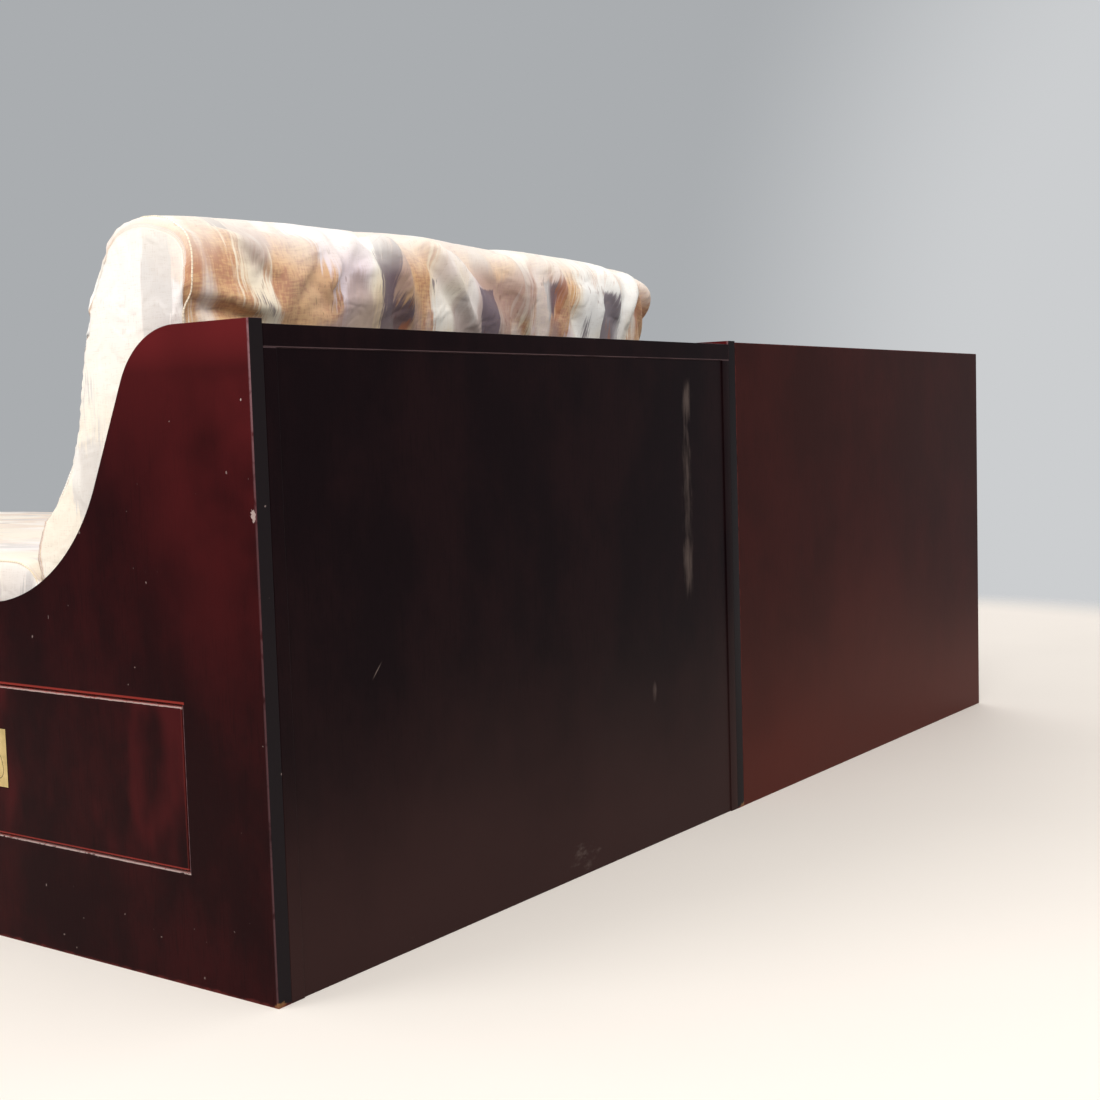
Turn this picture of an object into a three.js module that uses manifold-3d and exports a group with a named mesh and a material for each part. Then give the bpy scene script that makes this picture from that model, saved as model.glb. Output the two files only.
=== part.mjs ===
// A single bed in red-brown stained wood. Its two long sides sweep up in an S curve to a boxed headboard, and the
// near side holds two flush drawers with brass flap handles. A bedside chest as wide as the bed stands in line with
// the headboard. A foam mattress lies on slats, and a thick loose back cushion leans on the headboard.
// Units are millimetres. X runs across the bed from the drawer side to the chest, Y from head to foot, and Z up.
import * as THREE from "three";
import { mergeVertices } from "three/addons/utils/BufferGeometryUtils.js";
import Module from "manifold-3d";

// Overall sizes
const BED_WIDTH = 1050;
const BED_LENGTH = 2135;
const SIDE_HEIGHT = 750;
const BOARD = 20;
const GAP = 0.3;

// The S curve of the two side panels, from the head end
const FLAT_TOP = 118;
const UPPER_RADIUS = 103;
const LOWER_RADIUS = 250;
const CURVE_SLOPE = THREE.MathUtils.degToRad(65);
const LOW_HEIGHT = 427;
const ARC_STEPS = 20;
const SAME_POINT = 0.001;

// Headboard box and foot panel
const CAP_DROP = 5.5;
const CAP_THICKNESS = 25;
const HEAD_DEPTH = 110;
const STILE_WIDTH = 20;
const BACK_RECESS = 2;
const THIN_BOARD = 12;

// Slats and what carries them
const LEDGER_DEPTH = 28;
const LEDGER_HEIGHT = 20;
const LEDGER_ABOVE_DRAWER = 5;
const SLAT_COUNT = 11;
const SLAT_WIDTH = 90;
const SLAT_THICKNESS = 15;
const SLAT_END_MARGIN = 45;

// Bed drawers
const DRAWER_SETBACK = 23;
const DRAWER_SPACING = 303;
const OPENING_BOTTOM = 132;
const OPENING_HEIGHT = 194;
const FRONT_GAP = 3.4;
const FRONT_SIDE_GAP = 2;
const DRAWER_DEPTH = 600;
const DRAWER_WALL = 12;
const DRAWER_BASE = 6;
const BASE_RAISE = 8;
const DRAWER_TOP_DROP = 22;
const GUIDE_WEB = 16;
const GUIDE_LEDGE = 18;
const RUN_GAP = 1;

// Bedside chest
const CHEST_WIDTH = 1048;
const CHEST_DEPTH = 500;
const CHEST_TOP_DROP = 2;
const PLINTH_HEIGHT = 60;
const PLINTH_INSET = 12;
const SHELF_THICKNESS = 18;
const CHEST_DRAWER_SPACE = 40;
const CHEST_RUN_GAP = 1;

// Bolts that tie the chest to the headboard end
const BOLT_RADIUS = 4;
const BOLT_HEAD_RADIUS = 8;
const BOLT_HEAD_HEIGHT = 5;
const BOLT_FROM_BACK = 42;
const BOLT_HEIGHT_SHARES = [0.31, 0.8];
const ROUND_SIDES = 16;

// Flush tilting handle: an arched flap that turns on one pin in a brass dish
const PLATE_WIDTH = 125;
const PLATE_HEIGHT = 74;
const PLATE_THICKNESS = 14;
const PLATE_PROUD = 0.6;
const DISH_DEPTH = 12.8;
const HANDLE_RAISE = 3;
const FLAP_SIDE_MARGIN = 7.5;
const FLAP_BASE_MARGIN = 9.5;
const FLAP_TOP_MARGIN = 9.5;
const FLAP_BASE_RADIUS = 12;
const FLAP_THICKNESS = 4;
const FLAP_GAP = 0.8;
const PIN_BELOW_TOP = 14;
const PIN_RADIUS = 1.4;
const PIN_REACH = 7;

// Mattress
const MATTRESS_SIDE_GAP = 4;
const MATTRESS_TOP = 470;
const MATTRESS_CROWN = 12;
const MATTRESS_BULGE = 3;
const PRESS_DEPTH = 25;
const PRESS_RAMP = 60;
const MATTRESS_EDGE = 18;

// Back cushion: its height above the pressed mattress, its depth at the foot of its front, and its fullness
const CUSHION_HEIGHT = 440;
const CUSHION_DEPTH = 300;
const CUSHION_END_GAP = 4;
const CUSHION_END_RADIUS = 60;
const CUSHION_BACK_FULL = 18;
const CUSHION_FRONT_FULL = 16;
const CUSHION_TOP_FULL = 8;

// Worked out once and shared
const INNER_WIDTH = BED_WIDTH - 2 * BOARD;
const CAP_TOP = SIDE_HEIGHT - CAP_DROP;
const CAP_BOTTOM = CAP_TOP - CAP_THICKNESS;
const HEAD_INNER = HEAD_DEPTH - BOARD;
const OPENING_TOP = OPENING_BOTTOM + OPENING_HEIGHT;
const DRAWER_INSET = HEAD_DEPTH + DRAWER_SETBACK;
const OPENING_WIDTH = (BED_LENGTH - 2 * DRAWER_INSET - DRAWER_SPACING) / 2;
const LEDGER_BOTTOM = OPENING_TOP + LEDGER_ABOVE_DRAWER;
const SLAT_BOTTOM = LEDGER_BOTTOM + LEDGER_HEIGHT + GAP;
const MATTRESS_BOTTOM = SLAT_BOTTOM + SLAT_THICKNESS + GAP;
const PRESSED_TOP = MATTRESS_TOP - PRESS_DEPTH;
const CUSHION_BACK = HEAD_DEPTH + GAP;
const FLAP_HEIGHT = PLATE_HEIGHT - FLAP_BASE_MARGIN - FLAP_TOP_MARGIN;
const BOLT_HEIGHTS = BOLT_HEIGHT_SHARES.map((share) => share * SIDE_HEIGHT);
const CHEST_LEFT = BED_WIDTH + GAP;
const CHEST_HEIGHT = SIDE_HEIGHT - CHEST_TOP_DROP;
const TOTAL_WIDTH = CHEST_LEFT + CHEST_WIDTH;

const finish = (colour, roughness, metalness = 0) =>
  new THREE.MeshStandardMaterial({ color: colour, roughness, metalness });
const SIDE_WOOD = finish(0x4a1518, 0.35);
const BACK_WOOD = finish(0x241417, 0.3);
const CHEST_WOOD = finish(0x431a1a, 0.35);
const INNER_WOOD = finish(0x8a6a48, 0.7);
const SLAT_WOOD = finish(0xc8a878, 0.7);
const BRASS = finish(0xb89a50, 0.35, 1);
const STEEL = finish(0x8c8f92, 0.4, 1);
const FABRIC = finish(0xe6d6c0, 0.9);

// Everything is modelled from the floor corner at the head end of the drawer side, then centred.
const bed = new THREE.Group();
const assembly = new THREE.Group();
assembly.position.set(-(TOTAL_WIDTH - PLATE_PROUD) / 2, -BED_LENGTH / 2, 0);
bed.add(assembly);

function place(name, geometry, material, parent = assembly) {
  const mesh = new THREE.Mesh(geometry, material);
  mesh.name = name;
  parent.add(mesh);
  return mesh;
}

const wasm = await Module();
wasm.setup();

// A closed geometry as a solid that can be cut and joined.
function solid(geometry) {
  const bare = geometry.clone();
  bare.deleteAttribute("normal");
  bare.deleteAttribute("uv");
  const merged = mergeVertices(bare, SAME_POINT);
  return new wasm.Manifold(
    new wasm.Mesh({
      numProp: 3,
      vertProperties: merged.attributes.position.array,
      triVerts: new Uint32Array(merged.index.array),
    }),
  );
}

function geometryOf(result) {
  const made = result.getMesh();
  const geometry = new THREE.BufferGeometry();
  geometry.setAttribute("position", new THREE.Float32BufferAttribute(made.vertProperties, 3));
  geometry.setIndex(new THREE.Uint32BufferAttribute(made.triVerts, 1));
  return geometry;
}

// A mesh's or a geometry's solid with others taken away. A mesh is made again in place.
function cut(mesh, ...tools) {
  mesh.updateMatrix();
  let result = solid(mesh.geometry.clone().applyMatrix4(mesh.matrix));
  for (const tool of tools) result = result.subtract(solid(tool));
  mesh.geometry = geometryOf(result).applyMatrix4(mesh.matrix.clone().invert());
}

// A square-edged block between two corners, as a geometry.
function block(low, high) {
  const size = high.map((value, axis) => value - low[axis]);
  const middle = high.map((value, axis) => (value + low[axis]) / 2);
  return new THREE.BoxGeometry(...size).translate(...middle);
}

// A round rod along X, or along Y.
function rod(radius, start, end, alongY = false) {
  const geometry = new THREE.CylinderGeometry(radius, radius, end - start, ROUND_SIDES);
  if (!alongY) geometry.rotateZ(-Math.PI / 2);
  return geometry.translate(...(alongY ? [0, (start + end) / 2, 0] : [(start + end) / 2, 0, 0]));
}

// A square-edged board between two corners.
function board(name, material, low, high, parent = assembly) {
  const size = high.map((value, axis) => value - low[axis]);
  const mesh = place(name, new THREE.BoxGeometry(...size), material, parent);
  mesh.position.set(...high.map((value, axis) => (value + low[axis]) / 2));
  return mesh;
}

// An outline's points without any that repeats its neighbour.
function trimmed(points) {
  const kept = points.filter((p, i) => i === 0 || p.distanceTo(points[i - 1]) > SAME_POINT);
  if (kept[0].distanceTo(kept[kept.length - 1]) <= SAME_POINT) kept.pop();
  return kept;
}

function trimmedShape(shape) {
  const again = new THREE.Shape(trimmed(shape.getPoints(ARC_STEPS)));
  again.holes = shape.holes.map((hole) => new THREE.Path(trimmed(hole.getPoints(ARC_STEPS))));
  return again;
}

// A flat outline in the Y and Z plane, made thick along X.
function sideways(shape, thickness) {
  const geometry = new THREE.ExtrudeGeometry(trimmedShape(shape), {
    depth: thickness,
    bevelEnabled: false,
    curveSegments: ARC_STEPS,
  });
  const across = new THREE.Vector3(0, 1, 0);
  const up = new THREE.Vector3(0, 0, 1);
  const along = new THREE.Vector3(1, 0, 0);
  return geometry.applyMatrix4(new THREE.Matrix4().makeBasis(across, up, along));
}

function rectangle(left, bottom, width, height, path = new THREE.Shape()) {
  path.moveTo(left, bottom);
  path.lineTo(left + width, bottom);
  path.lineTo(left + width, bottom + height);
  path.lineTo(left, bottom + height);
  path.closePath();
  return path;
}

// The side panel's outline: foot end low and level, then a hollow arc, a slope and a round shoulder at the head.
function sideOutline() {
  const slopeDrop =
    SIDE_HEIGHT - LOW_HEIGHT - (UPPER_RADIUS + LOWER_RADIUS) * (1 - Math.cos(CURVE_SLOPE));
  const lowCentre =
    FLAT_TOP + (UPPER_RADIUS + LOWER_RADIUS) * Math.sin(CURVE_SLOPE) + slopeDrop / Math.tan(CURVE_SLOPE);
  const quarter = Math.PI / 2;
  const outline = new THREE.Shape();
  outline.moveTo(0, 0);
  outline.lineTo(BED_LENGTH, 0);
  outline.lineTo(BED_LENGTH, LOW_HEIGHT);
  outline.lineTo(lowCentre, LOW_HEIGHT);
  outline.absarc(lowCentre, LOW_HEIGHT + LOWER_RADIUS, LOWER_RADIUS, -quarter, -quarter - CURVE_SLOPE, true);
  outline.absarc(FLAT_TOP, SIDE_HEIGHT - UPPER_RADIUS, UPPER_RADIUS, quarter - CURVE_SLOPE, quarter, false);
  outline.lineTo(0, SIDE_HEIGHT);
  outline.closePath();
  return outline;
}

const drawerStarts = [DRAWER_INSET, BED_LENGTH - DRAWER_INSET - OPENING_WIDTH];

function sidePanels() {
  const near = place("near_side_panel", sideways(sideOutline(), BOARD), SIDE_WOOD);
  cut(
    near,
    ...drawerStarts.map((start) =>
      block([-BOARD, start, OPENING_BOTTOM], [2 * BOARD, start + OPENING_WIDTH, OPENING_TOP]),
    ),
  );
  const far = place("far_side_panel", sideways(sideOutline(), BOARD), SIDE_WOOD);
  far.position.x = BED_WIDTH - BOARD;
  cut(far, ...boltHoles());
}

// The bolts' shared holes, through the headboard's far stile, the far side panel and the chest's side.
function boltHoles() {
  const start = BED_WIDTH - 2 * BOARD - STILE_WIDTH;
  return BOLT_HEIGHTS.map((z) =>
    rod(BOLT_RADIUS + GAP, start, CHEST_LEFT + 2 * BOARD).translate(0, BOLT_FROM_BACK, z),
  );
}

// One turned solid each: a head inside the headboard, a shank through three boards and a nut inside the chest.
function bolts() {
  const headEnd = BED_WIDTH - BOARD - GAP - STILE_WIDTH - GAP;
  const nutStart = CHEST_LEFT + BOARD + GAP;
  const profile = [
    [0, headEnd - BOLT_HEAD_HEIGHT],
    [BOLT_HEAD_RADIUS, headEnd - BOLT_HEAD_HEIGHT],
    [BOLT_HEAD_RADIUS, headEnd],
    [BOLT_RADIUS, headEnd],
    [BOLT_RADIUS, nutStart],
    [BOLT_HEAD_RADIUS, nutStart],
    [BOLT_HEAD_RADIUS, nutStart + BOLT_HEAD_HEIGHT],
    [0, nutStart + BOLT_HEAD_HEIGHT],
  ].map(([radius, x]) => new THREE.Vector2(radius, x));
  BOLT_HEIGHTS.forEach((z, i) => {
    const turned = new THREE.LatheGeometry(profile, ROUND_SIDES).rotateZ(-Math.PI / 2);
    place(`bolt_${i + 1}`, turned, STEEL).position.set(0, BOLT_FROM_BACK, z);
  });
}

function headboard() {
  const left = BOARD + GAP;
  const right = BED_WIDTH - BOARD - GAP;
  const underCap = CAP_BOTTOM - GAP;
  const stileBack = HEAD_INNER - GAP;
  board("headboard_cap", BACK_WOOD, [left, 0, CAP_BOTTOM], [right, HEAD_DEPTH, CAP_TOP]);
  board("headboard_inner_panel", SIDE_WOOD, [left, HEAD_INNER, 0], [right, HEAD_DEPTH, underCap]);
  board("headboard_stile_near", BACK_WOOD, [left, 0, 0], [left + STILE_WIDTH, stileBack, underCap]);
  const far = board("headboard_stile_far", BACK_WOOD, [right - STILE_WIDTH, 0, 0], [right, stileBack, underCap]);
  cut(far, ...boltHoles());
  board(
    "headboard_back_panel",
    BACK_WOOD,
    [left + STILE_WIDTH + GAP, BACK_RECESS, 0],
    [right - STILE_WIDTH - GAP, BACK_RECESS + THIN_BOARD, underCap],
  );
}

function footPanel() {
  const left = BOARD + GAP;
  const right = BED_WIDTH - BOARD - GAP;
  board("foot_panel", SIDE_WOOD, [left, BED_LENGTH - BOARD, 0], [right, BED_LENGTH, LOW_HEIGHT - CAP_DROP]);
}

// Two ledgers on the side panels and one board across the middle carry the slats.
function slatBase() {
  const start = HEAD_DEPTH + GAP;
  const end = BED_LENGTH - BOARD - GAP;
  const top = LEDGER_BOTTOM + LEDGER_HEIGHT;
  const left = BOARD + GAP;
  const right = BED_WIDTH - BOARD - GAP;
  board("ledger_near", INNER_WOOD, [left, start, LEDGER_BOTTOM], [left + LEDGER_DEPTH, end, top]);
  board("ledger_far", INNER_WOOD, [right - LEDGER_DEPTH, start, LEDGER_BOTTOM], [right, end, top]);
  const middle = BED_LENGTH / 2;
  const crossLeft = left + LEDGER_DEPTH + GAP;
  const crossRight = right - LEDGER_DEPTH - GAP;
  board("middle_cross_board", INNER_WOOD, [crossLeft, middle - BOARD / 2, 0], [crossRight, middle + BOARD / 2, top]);
  const first = start + SLAT_END_MARGIN;
  const pitch = (end - SLAT_END_MARGIN - SLAT_WIDTH - first) / (SLAT_COUNT - 1);
  for (let i = 0; i < SLAT_COUNT; i++) {
    const y = first + i * pitch;
    const number = String(i + 1).padStart(2, "0");
    const low = [left + GAP, y, SLAT_BOTTOM];
    board(`slat_${number}`, SLAT_WOOD, low, [right - GAP, y + SLAT_WIDTH, SLAT_BOTTOM + SLAT_THICKNESS]);
  }
}

// The flap's arched outline, centred on the plate: a flat lower edge with rounded corners and a half-round top.
function flapOutline(shrink) {
  const half = PLATE_WIDTH / 2 - FLAP_SIDE_MARGIN - shrink;
  const bottom = -PLATE_HEIGHT / 2 + FLAP_BASE_MARGIN + shrink;
  const top = -PLATE_HEIGHT / 2 + FLAP_BASE_MARGIN + FLAP_HEIGHT - shrink;
  const corner = FLAP_BASE_RADIUS - shrink;
  const shoulder = bottom + corner;
  const outline = new THREE.Shape();
  outline.moveTo(-half + corner, bottom);
  outline.lineTo(half - corner, bottom);
  outline.absarc(half - corner, shoulder, corner, -Math.PI / 2, 0, false);
  outline.absellipse(0, shoulder, half, top - shoulder, 0, Math.PI, false, 0);
  outline.absarc(-half + corner, shoulder, corner, Math.PI, Math.PI * 1.5, false);
  return outline;
}

// A handle in its own group: +X of the group goes into the wood, Y lies along the plate and Z up.
function handle(prefix, group) {
  const pinX = FLAP_THICKNESS / 2 - PLATE_PROUD;
  const pinHeight = FLAP_HEIGHT - PIN_BELOW_TOP;
  const pinZ = -PLATE_HEIGHT / 2 + FLAP_BASE_MARGIN + pinHeight;
  const archShare = (pinHeight - FLAP_BASE_RADIUS) / (FLAP_HEIGHT - FLAP_BASE_RADIUS);
  const pinEnd = (PLATE_WIDTH / 2 - FLAP_SIDE_MARGIN) * Math.sqrt(1 - archShare ** 2) + PIN_REACH;
  const halves = [PLATE_WIDTH / 2, PLATE_HEIGHT / 2];
  const plate = board(
    `${prefix}_plate`,
    BRASS,
    [-PLATE_PROUD, -halves[0], -halves[1]],
    [PLATE_THICKNESS - PLATE_PROUD, ...halves],
    group,
  );
  const recess = sideways(flapOutline(0), 2 * DISH_DEPTH).translate(-PLATE_PROUD - DISH_DEPTH, 0, 0);
  const bore = pinEnd + GAP;
  cut(plate, recess, rod(PIN_RADIUS + GAP, -bore, bore, true).translate(pinX, 0, pinZ));
  const leaf = sideways(flapOutline(FLAP_GAP), FLAP_THICKNESS).translate(-PLATE_PROUD, 0, 0);
  const pin = rod(PIN_RADIUS, -pinEnd, pinEnd, true).translate(pinX, 0, pinZ);
  place(`${prefix}_flap`, geometryOf(solid(leaf).add(solid(pin))), BRASS, group);
}

// A drawer seen from its own front: group X goes in from the front face, Y runs along it, Z up.
// "side" is how far its box stands in from the front's ends, and "lift" how far its foot is above the front's.
function drawer(prefix, group, { width, height, depth, side, lift, drop }) {
  const halves = [width / 2, height / 2];
  const front = board(`${prefix}_front`, SIDE_WOOD, [0, -halves[0], -halves[1]], [BOARD, ...halves], group);
  const handleGroup = new THREE.Group();
  handleGroup.position.z = HANDLE_RAISE;
  group.add(handleGroup);
  const y = PLATE_WIDTH / 2 + GAP;
  const z = PLATE_HEIGHT / 2 + GAP;
  const pocketDepth = PLATE_THICKNESS - PLATE_PROUD + GAP;
  cut(front, block([-BOARD, -y, HANDLE_RAISE - z], [pocketDepth, y, HANDLE_RAISE + z]));
  handle(prefix, handleGroup);
  const halfBox = halves[0] - side;
  const low = lift - halves[1];
  const start = BOARD + GAP;
  const box = board(
    `${prefix}_box`,
    INNER_WOOD,
    [start, -halfBox, low],
    [depth, halfBox, halves[1] - drop],
    group,
  );
  const inner = [start + DRAWER_WALL, halfBox - DRAWER_WALL];
  cut(box, block([inner[0], -inner[1], low - height], [depth - DRAWER_WALL, inner[1], height]));
  board(
    `${prefix}_base`,
    INNER_WOOD,
    [inner[0] + GAP, -inner[1] + GAP, low + BASE_RAISE],
    [depth - DRAWER_WALL - GAP, inner[1] - GAP, low + BASE_RAISE + DRAWER_BASE],
    group,
  );
}

// Guide boards stand on the floor each side of a bed drawer, with a ledge that its box runs on.
function bedDrawers() {
  const width = OPENING_WIDTH - 2 * FRONT_SIDE_GAP;
  const height = OPENING_HEIGHT - 2 * FRONT_GAP;
  const centreZ = OPENING_BOTTOM + OPENING_HEIGHT / 2;
  const ledgeTop = centreZ - height / 2 + GUIDE_LEDGE - GAP;
  drawerStarts.forEach((start, i) => {
    const group = new THREE.Group();
    const centreY = start + OPENING_WIDTH / 2;
    group.position.set(0, centreY, centreZ);
    assembly.add(group);
    drawer(`drawer_${i + 1}`, group, {
      width,
      height,
      depth: DRAWER_DEPTH,
      side: GUIDE_WEB,
      lift: GUIDE_LEDGE,
      drop: DRAWER_TOP_DROP,
    });
    const halfBox = width / 2 - GUIDE_WEB;
    for (const [side, name] of [
      [-1, "head"],
      [1, "foot"],
    ]) {
      const inner = centreY + side * (halfBox + RUN_GAP);
      const outer = inner + side * GUIDE_WEB;
      const ledge = centreY + side * (halfBox - DRAWER_WALL);
      const outline = new THREE.Shape();
      outline.moveTo(outer, 0);
      outline.lineTo(ledge, 0);
      outline.lineTo(ledge, ledgeTop);
      outline.lineTo(inner, ledgeTop);
      outline.lineTo(inner, LEDGER_BOTTOM - GAP);
      outline.lineTo(outer, LEDGER_BOTTOM - GAP);
      outline.closePath();
      const guide = place(
        `drawer_${i + 1}_guide_${name}`,
        sideways(outline, DRAWER_DEPTH),
        INNER_WOOD,
      );
      guide.position.x = BOARD + GAP;
    }
  });
}

function chest() {
  const right = CHEST_LEFT + CHEST_WIDTH;
  const front = BOARD + GAP;
  const topLow = CHEST_HEIGHT - BOARD;
  const underTop = topLow - GAP;
  const innerLeft = CHEST_LEFT + BOARD + GAP;
  const innerRight = right - BOARD - GAP;
  board("chest_back_panel", CHEST_WOOD, [CHEST_LEFT, 0, 0], [right, BOARD, CHEST_HEIGHT]);
  board("chest_top", CHEST_WOOD, [CHEST_LEFT, front, topLow], [right, CHEST_DEPTH, CHEST_HEIGHT]);
  const nearHigh = [CHEST_LEFT + BOARD, CHEST_DEPTH, underTop];
  cut(board("chest_side_near", CHEST_WOOD, [CHEST_LEFT, front, 0], nearHigh), ...boltHoles());
  board("chest_side_far", CHEST_WOOD, [right - BOARD, front, 0], [right, CHEST_DEPTH, underTop]);
  const plinthFront = CHEST_DEPTH - PLINTH_INSET;
  board("chest_plinth", CHEST_WOOD, [innerLeft, plinthFront - BOARD, 0], [innerRight, plinthFront, PLINTH_HEIGHT]);
  const floorLow = PLINTH_HEIGHT + GAP;
  const floorTop = floorLow + SHELF_THICKNESS;
  const space = (underTop - floorTop - SHELF_THICKNESS) / 2;
  const shelfLow = floorTop + space;
  for (const [name, low] of [
    ["chest_floor", floorLow],
    ["chest_shelf", shelfLow],
  ])
    board(name, CHEST_WOOD, [innerLeft, front, low], [innerRight, CHEST_DEPTH, low + SHELF_THICKNESS]);
  [floorTop, shelfLow + SHELF_THICKNESS].forEach((low, i) => {
    const group = new THREE.Group();
    group.position.set(CHEST_LEFT + CHEST_WIDTH / 2, CHEST_DEPTH, low + space / 2);
    group.rotation.z = -Math.PI / 2;
    assembly.add(group);
    drawer(`chest_drawer_${i + 1}`, group, {
      width: CHEST_WIDTH - 2 * BOARD - 2 * FRONT_SIDE_GAP,
      height: space - 2 * FRONT_GAP,
      depth: CHEST_DEPTH - BOARD - CHEST_DRAWER_SPACE,
      side: CHEST_RUN_GAP,
      lift: GAP - FRONT_GAP,
      drop: CHEST_DRAWER_SPACE,
    });
  });
}

// Eases from 0 to 1 and is level at both ends.
const ease = (share) => THREE.MathUtils.smoothstep(share, 0, 1);
const mix = THREE.MathUtils.lerp;

// The mattress: flat below, crowned above, with drawn-in upper edges, and pressed down where the cushion stands.
const MATTRESS_STEPS = { across: 14, pressed: 4, ramp: 3, open: 16, up: 4 };
function mattress() {
  const { across, pressed, ramp, open, up } = MATTRESS_STEPS;
  const along = pressed + ramp + open;
  const halfWidth = INNER_WIDTH / 2 - MATTRESS_SIDE_GAP;
  const start = HEAD_DEPTH + MATTRESS_SIDE_GAP;
  const end = BED_LENGTH - BOARD - MATTRESS_SIDE_GAP;
  const rampStart = CUSHION_BACK + CUSHION_DEPTH + CUSHION_FRONT_FULL;
  const box = new THREE.BoxGeometry(1, 1, 1, across, along, up);
  const points = box.attributes.position;
  const station = (step) => {
    if (step <= pressed) return mix(start, rampStart, step / pressed);
    if (step <= pressed + ramp) return rampStart + (PRESS_RAMP * (step - pressed)) / ramp;
    return mix(rampStart + PRESS_RAMP, end, (step - pressed - ramp) / open);
  };
  for (let i = 0; i < points.count; i++) {
    const u = spread(points.getX(i));
    const y = station(Math.round((points.getY(i) + 1 / 2) * along));
    const v = (2 * (y - start)) / (end - start) - 1;
    const t = points.getZ(i) + 1 / 2;
    const crown = (1 - u ** 4) * (1 - v ** 6) * MATTRESS_CROWN;
    const raised = ease((y - rampStart) / PRESS_RAMP);
    const top = mix(PRESSED_TOP, MATTRESS_TOP + crown, raised);
    const waist = MATTRESS_BULGE * (4 * t * (1 - t) - 1);
    const drop = (MATTRESS_EDGE * (u ** 12 + v ** 24) * t ** 6 * raised) / 2;
    points.setXYZ(
      i,
      BED_WIDTH / 2 + u * (halfWidth + waist),
      y + Math.sign(v) * v ** 24 * waist,
      mix(MATTRESS_BOTTOM, top, t) - drop,
    );
  }
  place("mattress", box, FABRIC);
}

// Pushes a box's evenly spaced columns towards its two edges, where the surface turns.
function spread(x) {
  return Math.sin(x * Math.PI);
}

// The cushion's section, as shares of its depth from the headboard and of its height from the mattress.
const CUSHION_SECTION_SHARES = [
  [0.03, 0.0],
  [0.5, 0.0],
  [0.94, 0.0],
  [0.985, 0.03],
  [1.0, 0.08],
  [0.97, 0.15],
  [0.925, 0.205],
  [0.875, 0.25],
  [0.825, 0.3],
  [0.79, 0.37],
  [0.73, 0.52],
  [0.675, 0.655],
  [0.63, 0.785],
  [0.56, 0.885],
  [0.42, 0.965],
  [0.3, 0.99],
  [0.17, 0.98],
  [0.04, 0.94],
  [0.02, 0.88],
  [0.03, 0.7],
  [0.02, 0.5],
  [0.01, 0.3],
  [0.01, 0.06],
];
const CUSHION_RINGS = 24;
const SECTION_STEPS = 44;
const CENTRE_SHARES = [0.45, 0.45];

// The back cushion: one section swept across the bed, full in the middle and drawn in round its two ends.
function backCushion() {
  const section = new THREE.CatmullRomCurve3(
    CUSHION_SECTION_SHARES.map(([y, z]) => new THREE.Vector3(0, y, z)),
    true,
    "centripetal",
  ).getSpacedPoints(SECTION_STEPS);
  section.pop();
  const left = BOARD + CUSHION_END_GAP;
  const width = INNER_WIDTH - 2 * CUSHION_END_GAP;
  const positions = [];
  const index = [];
  const count = section.length;
  for (let i = 0; i <= CUSHION_RINGS; i++) {
    const share = (1 - Math.cos((Math.PI * i) / CUSHION_RINGS)) / 2;
    const fromEnd = Math.min(share, 1 - share) * width;
    const round = Math.max(0, 1 - fromEnd / CUSHION_END_RADIUS);
    const inset = CUSHION_END_RADIUS * (1 - Math.sqrt(1 - round * round)) * DRAWN_SHARE;
    const full = 1 - (2 * share - 1) ** 4;
    for (const p of section) positions.push(left + share * width, ...cushionPoint(p, inset, full));
  }
  for (let i = 0; i < CUSHION_RINGS; i++)
    for (let j = 0; j < count; j++) {
      const a = i * count + j;
      const b = i * count + ((j + 1) % count);
      index.push(a, b, b + count, a, b + count, a + count);
    }
  for (const [ring, turned] of [
    [0, true],
    [CUSHION_RINGS, false],
  ]) {
    const hub = positions.length / 3;
    const [centreY, centreZ] = cushionPoint({ y: CENTRE_SHARES[0], z: CENTRE_SHARES[1] }, 0, 0);
    positions.push(left + (ring ? width : 0), centreY, centreZ);
    for (let j = 0; j < count; j++) {
      const a = ring * count + j;
      const b = ring * count + ((j + 1) % count);
      index.push(...(turned ? [hub, b, a] : [hub, a, b]));
    }
  }
  const geometry = new THREE.BufferGeometry();
  geometry.setAttribute("position", new THREE.Float32BufferAttribute(positions, 3));
  geometry.setIndex(index);
  place("back_cushion", geometry, FABRIC);
}

// One section point: it draws in towards the middle near the two ends, and swells in front, on top, and at the
// back where it stands above the headboard.
const DRAWN_SHARE = 0.55;
function cushionPoint(p, inset, full) {
  const fromMiddle = [p.y - CENTRE_SHARES[0], p.z - CENTRE_SHARES[1]];
  const reach = Math.hypot(...fromMiddle) || 1;
  const upright = Math.sin(Math.PI * THREE.MathUtils.clamp(p.z, 0, 1));
  const height = PRESSED_TOP + GAP + p.z * CUSHION_HEIGHT;
  const free = ease((height - CAP_TOP) / (PRESSED_TOP + CUSHION_HEIGHT - CAP_TOP) - 1 / 4);
  const swell = fromMiddle[0] < 0 ? -CUSHION_BACK_FULL * free : CUSHION_FRONT_FULL * upright;
  const upward = CUSHION_TOP_FULL * ease(p.z * 4 - 3);
  const drawn = fromMiddle.map((value) => (inset * value) / reach);
  const y = CUSHION_BACK + p.y * CUSHION_DEPTH - drawn[0] + swell * full;
  const z = height - drawn[1] + upward * full;
  return [free > 0 ? y : Math.max(y, CUSHION_BACK), Math.max(z, PRESSED_TOP + GAP)];
}

sidePanels();
headboard();
footPanel();
slatBase();
bedDrawers();
chest();
bolts();
mattress();
backCushion();

export default bed;
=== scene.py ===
"""A single bed in red-brown stained wood with its back cushion and mattress, and the chest beside it."""

import math

import bpy
import numpy as np
from bpy.props import FloatProperty, FloatVectorProperty, PointerProperty
from bpy.types import Operator, Panel, PropertyGroup
from mathutils import Matrix, Vector, noise
from mathutils.bvhtree import BVHTree


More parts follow.
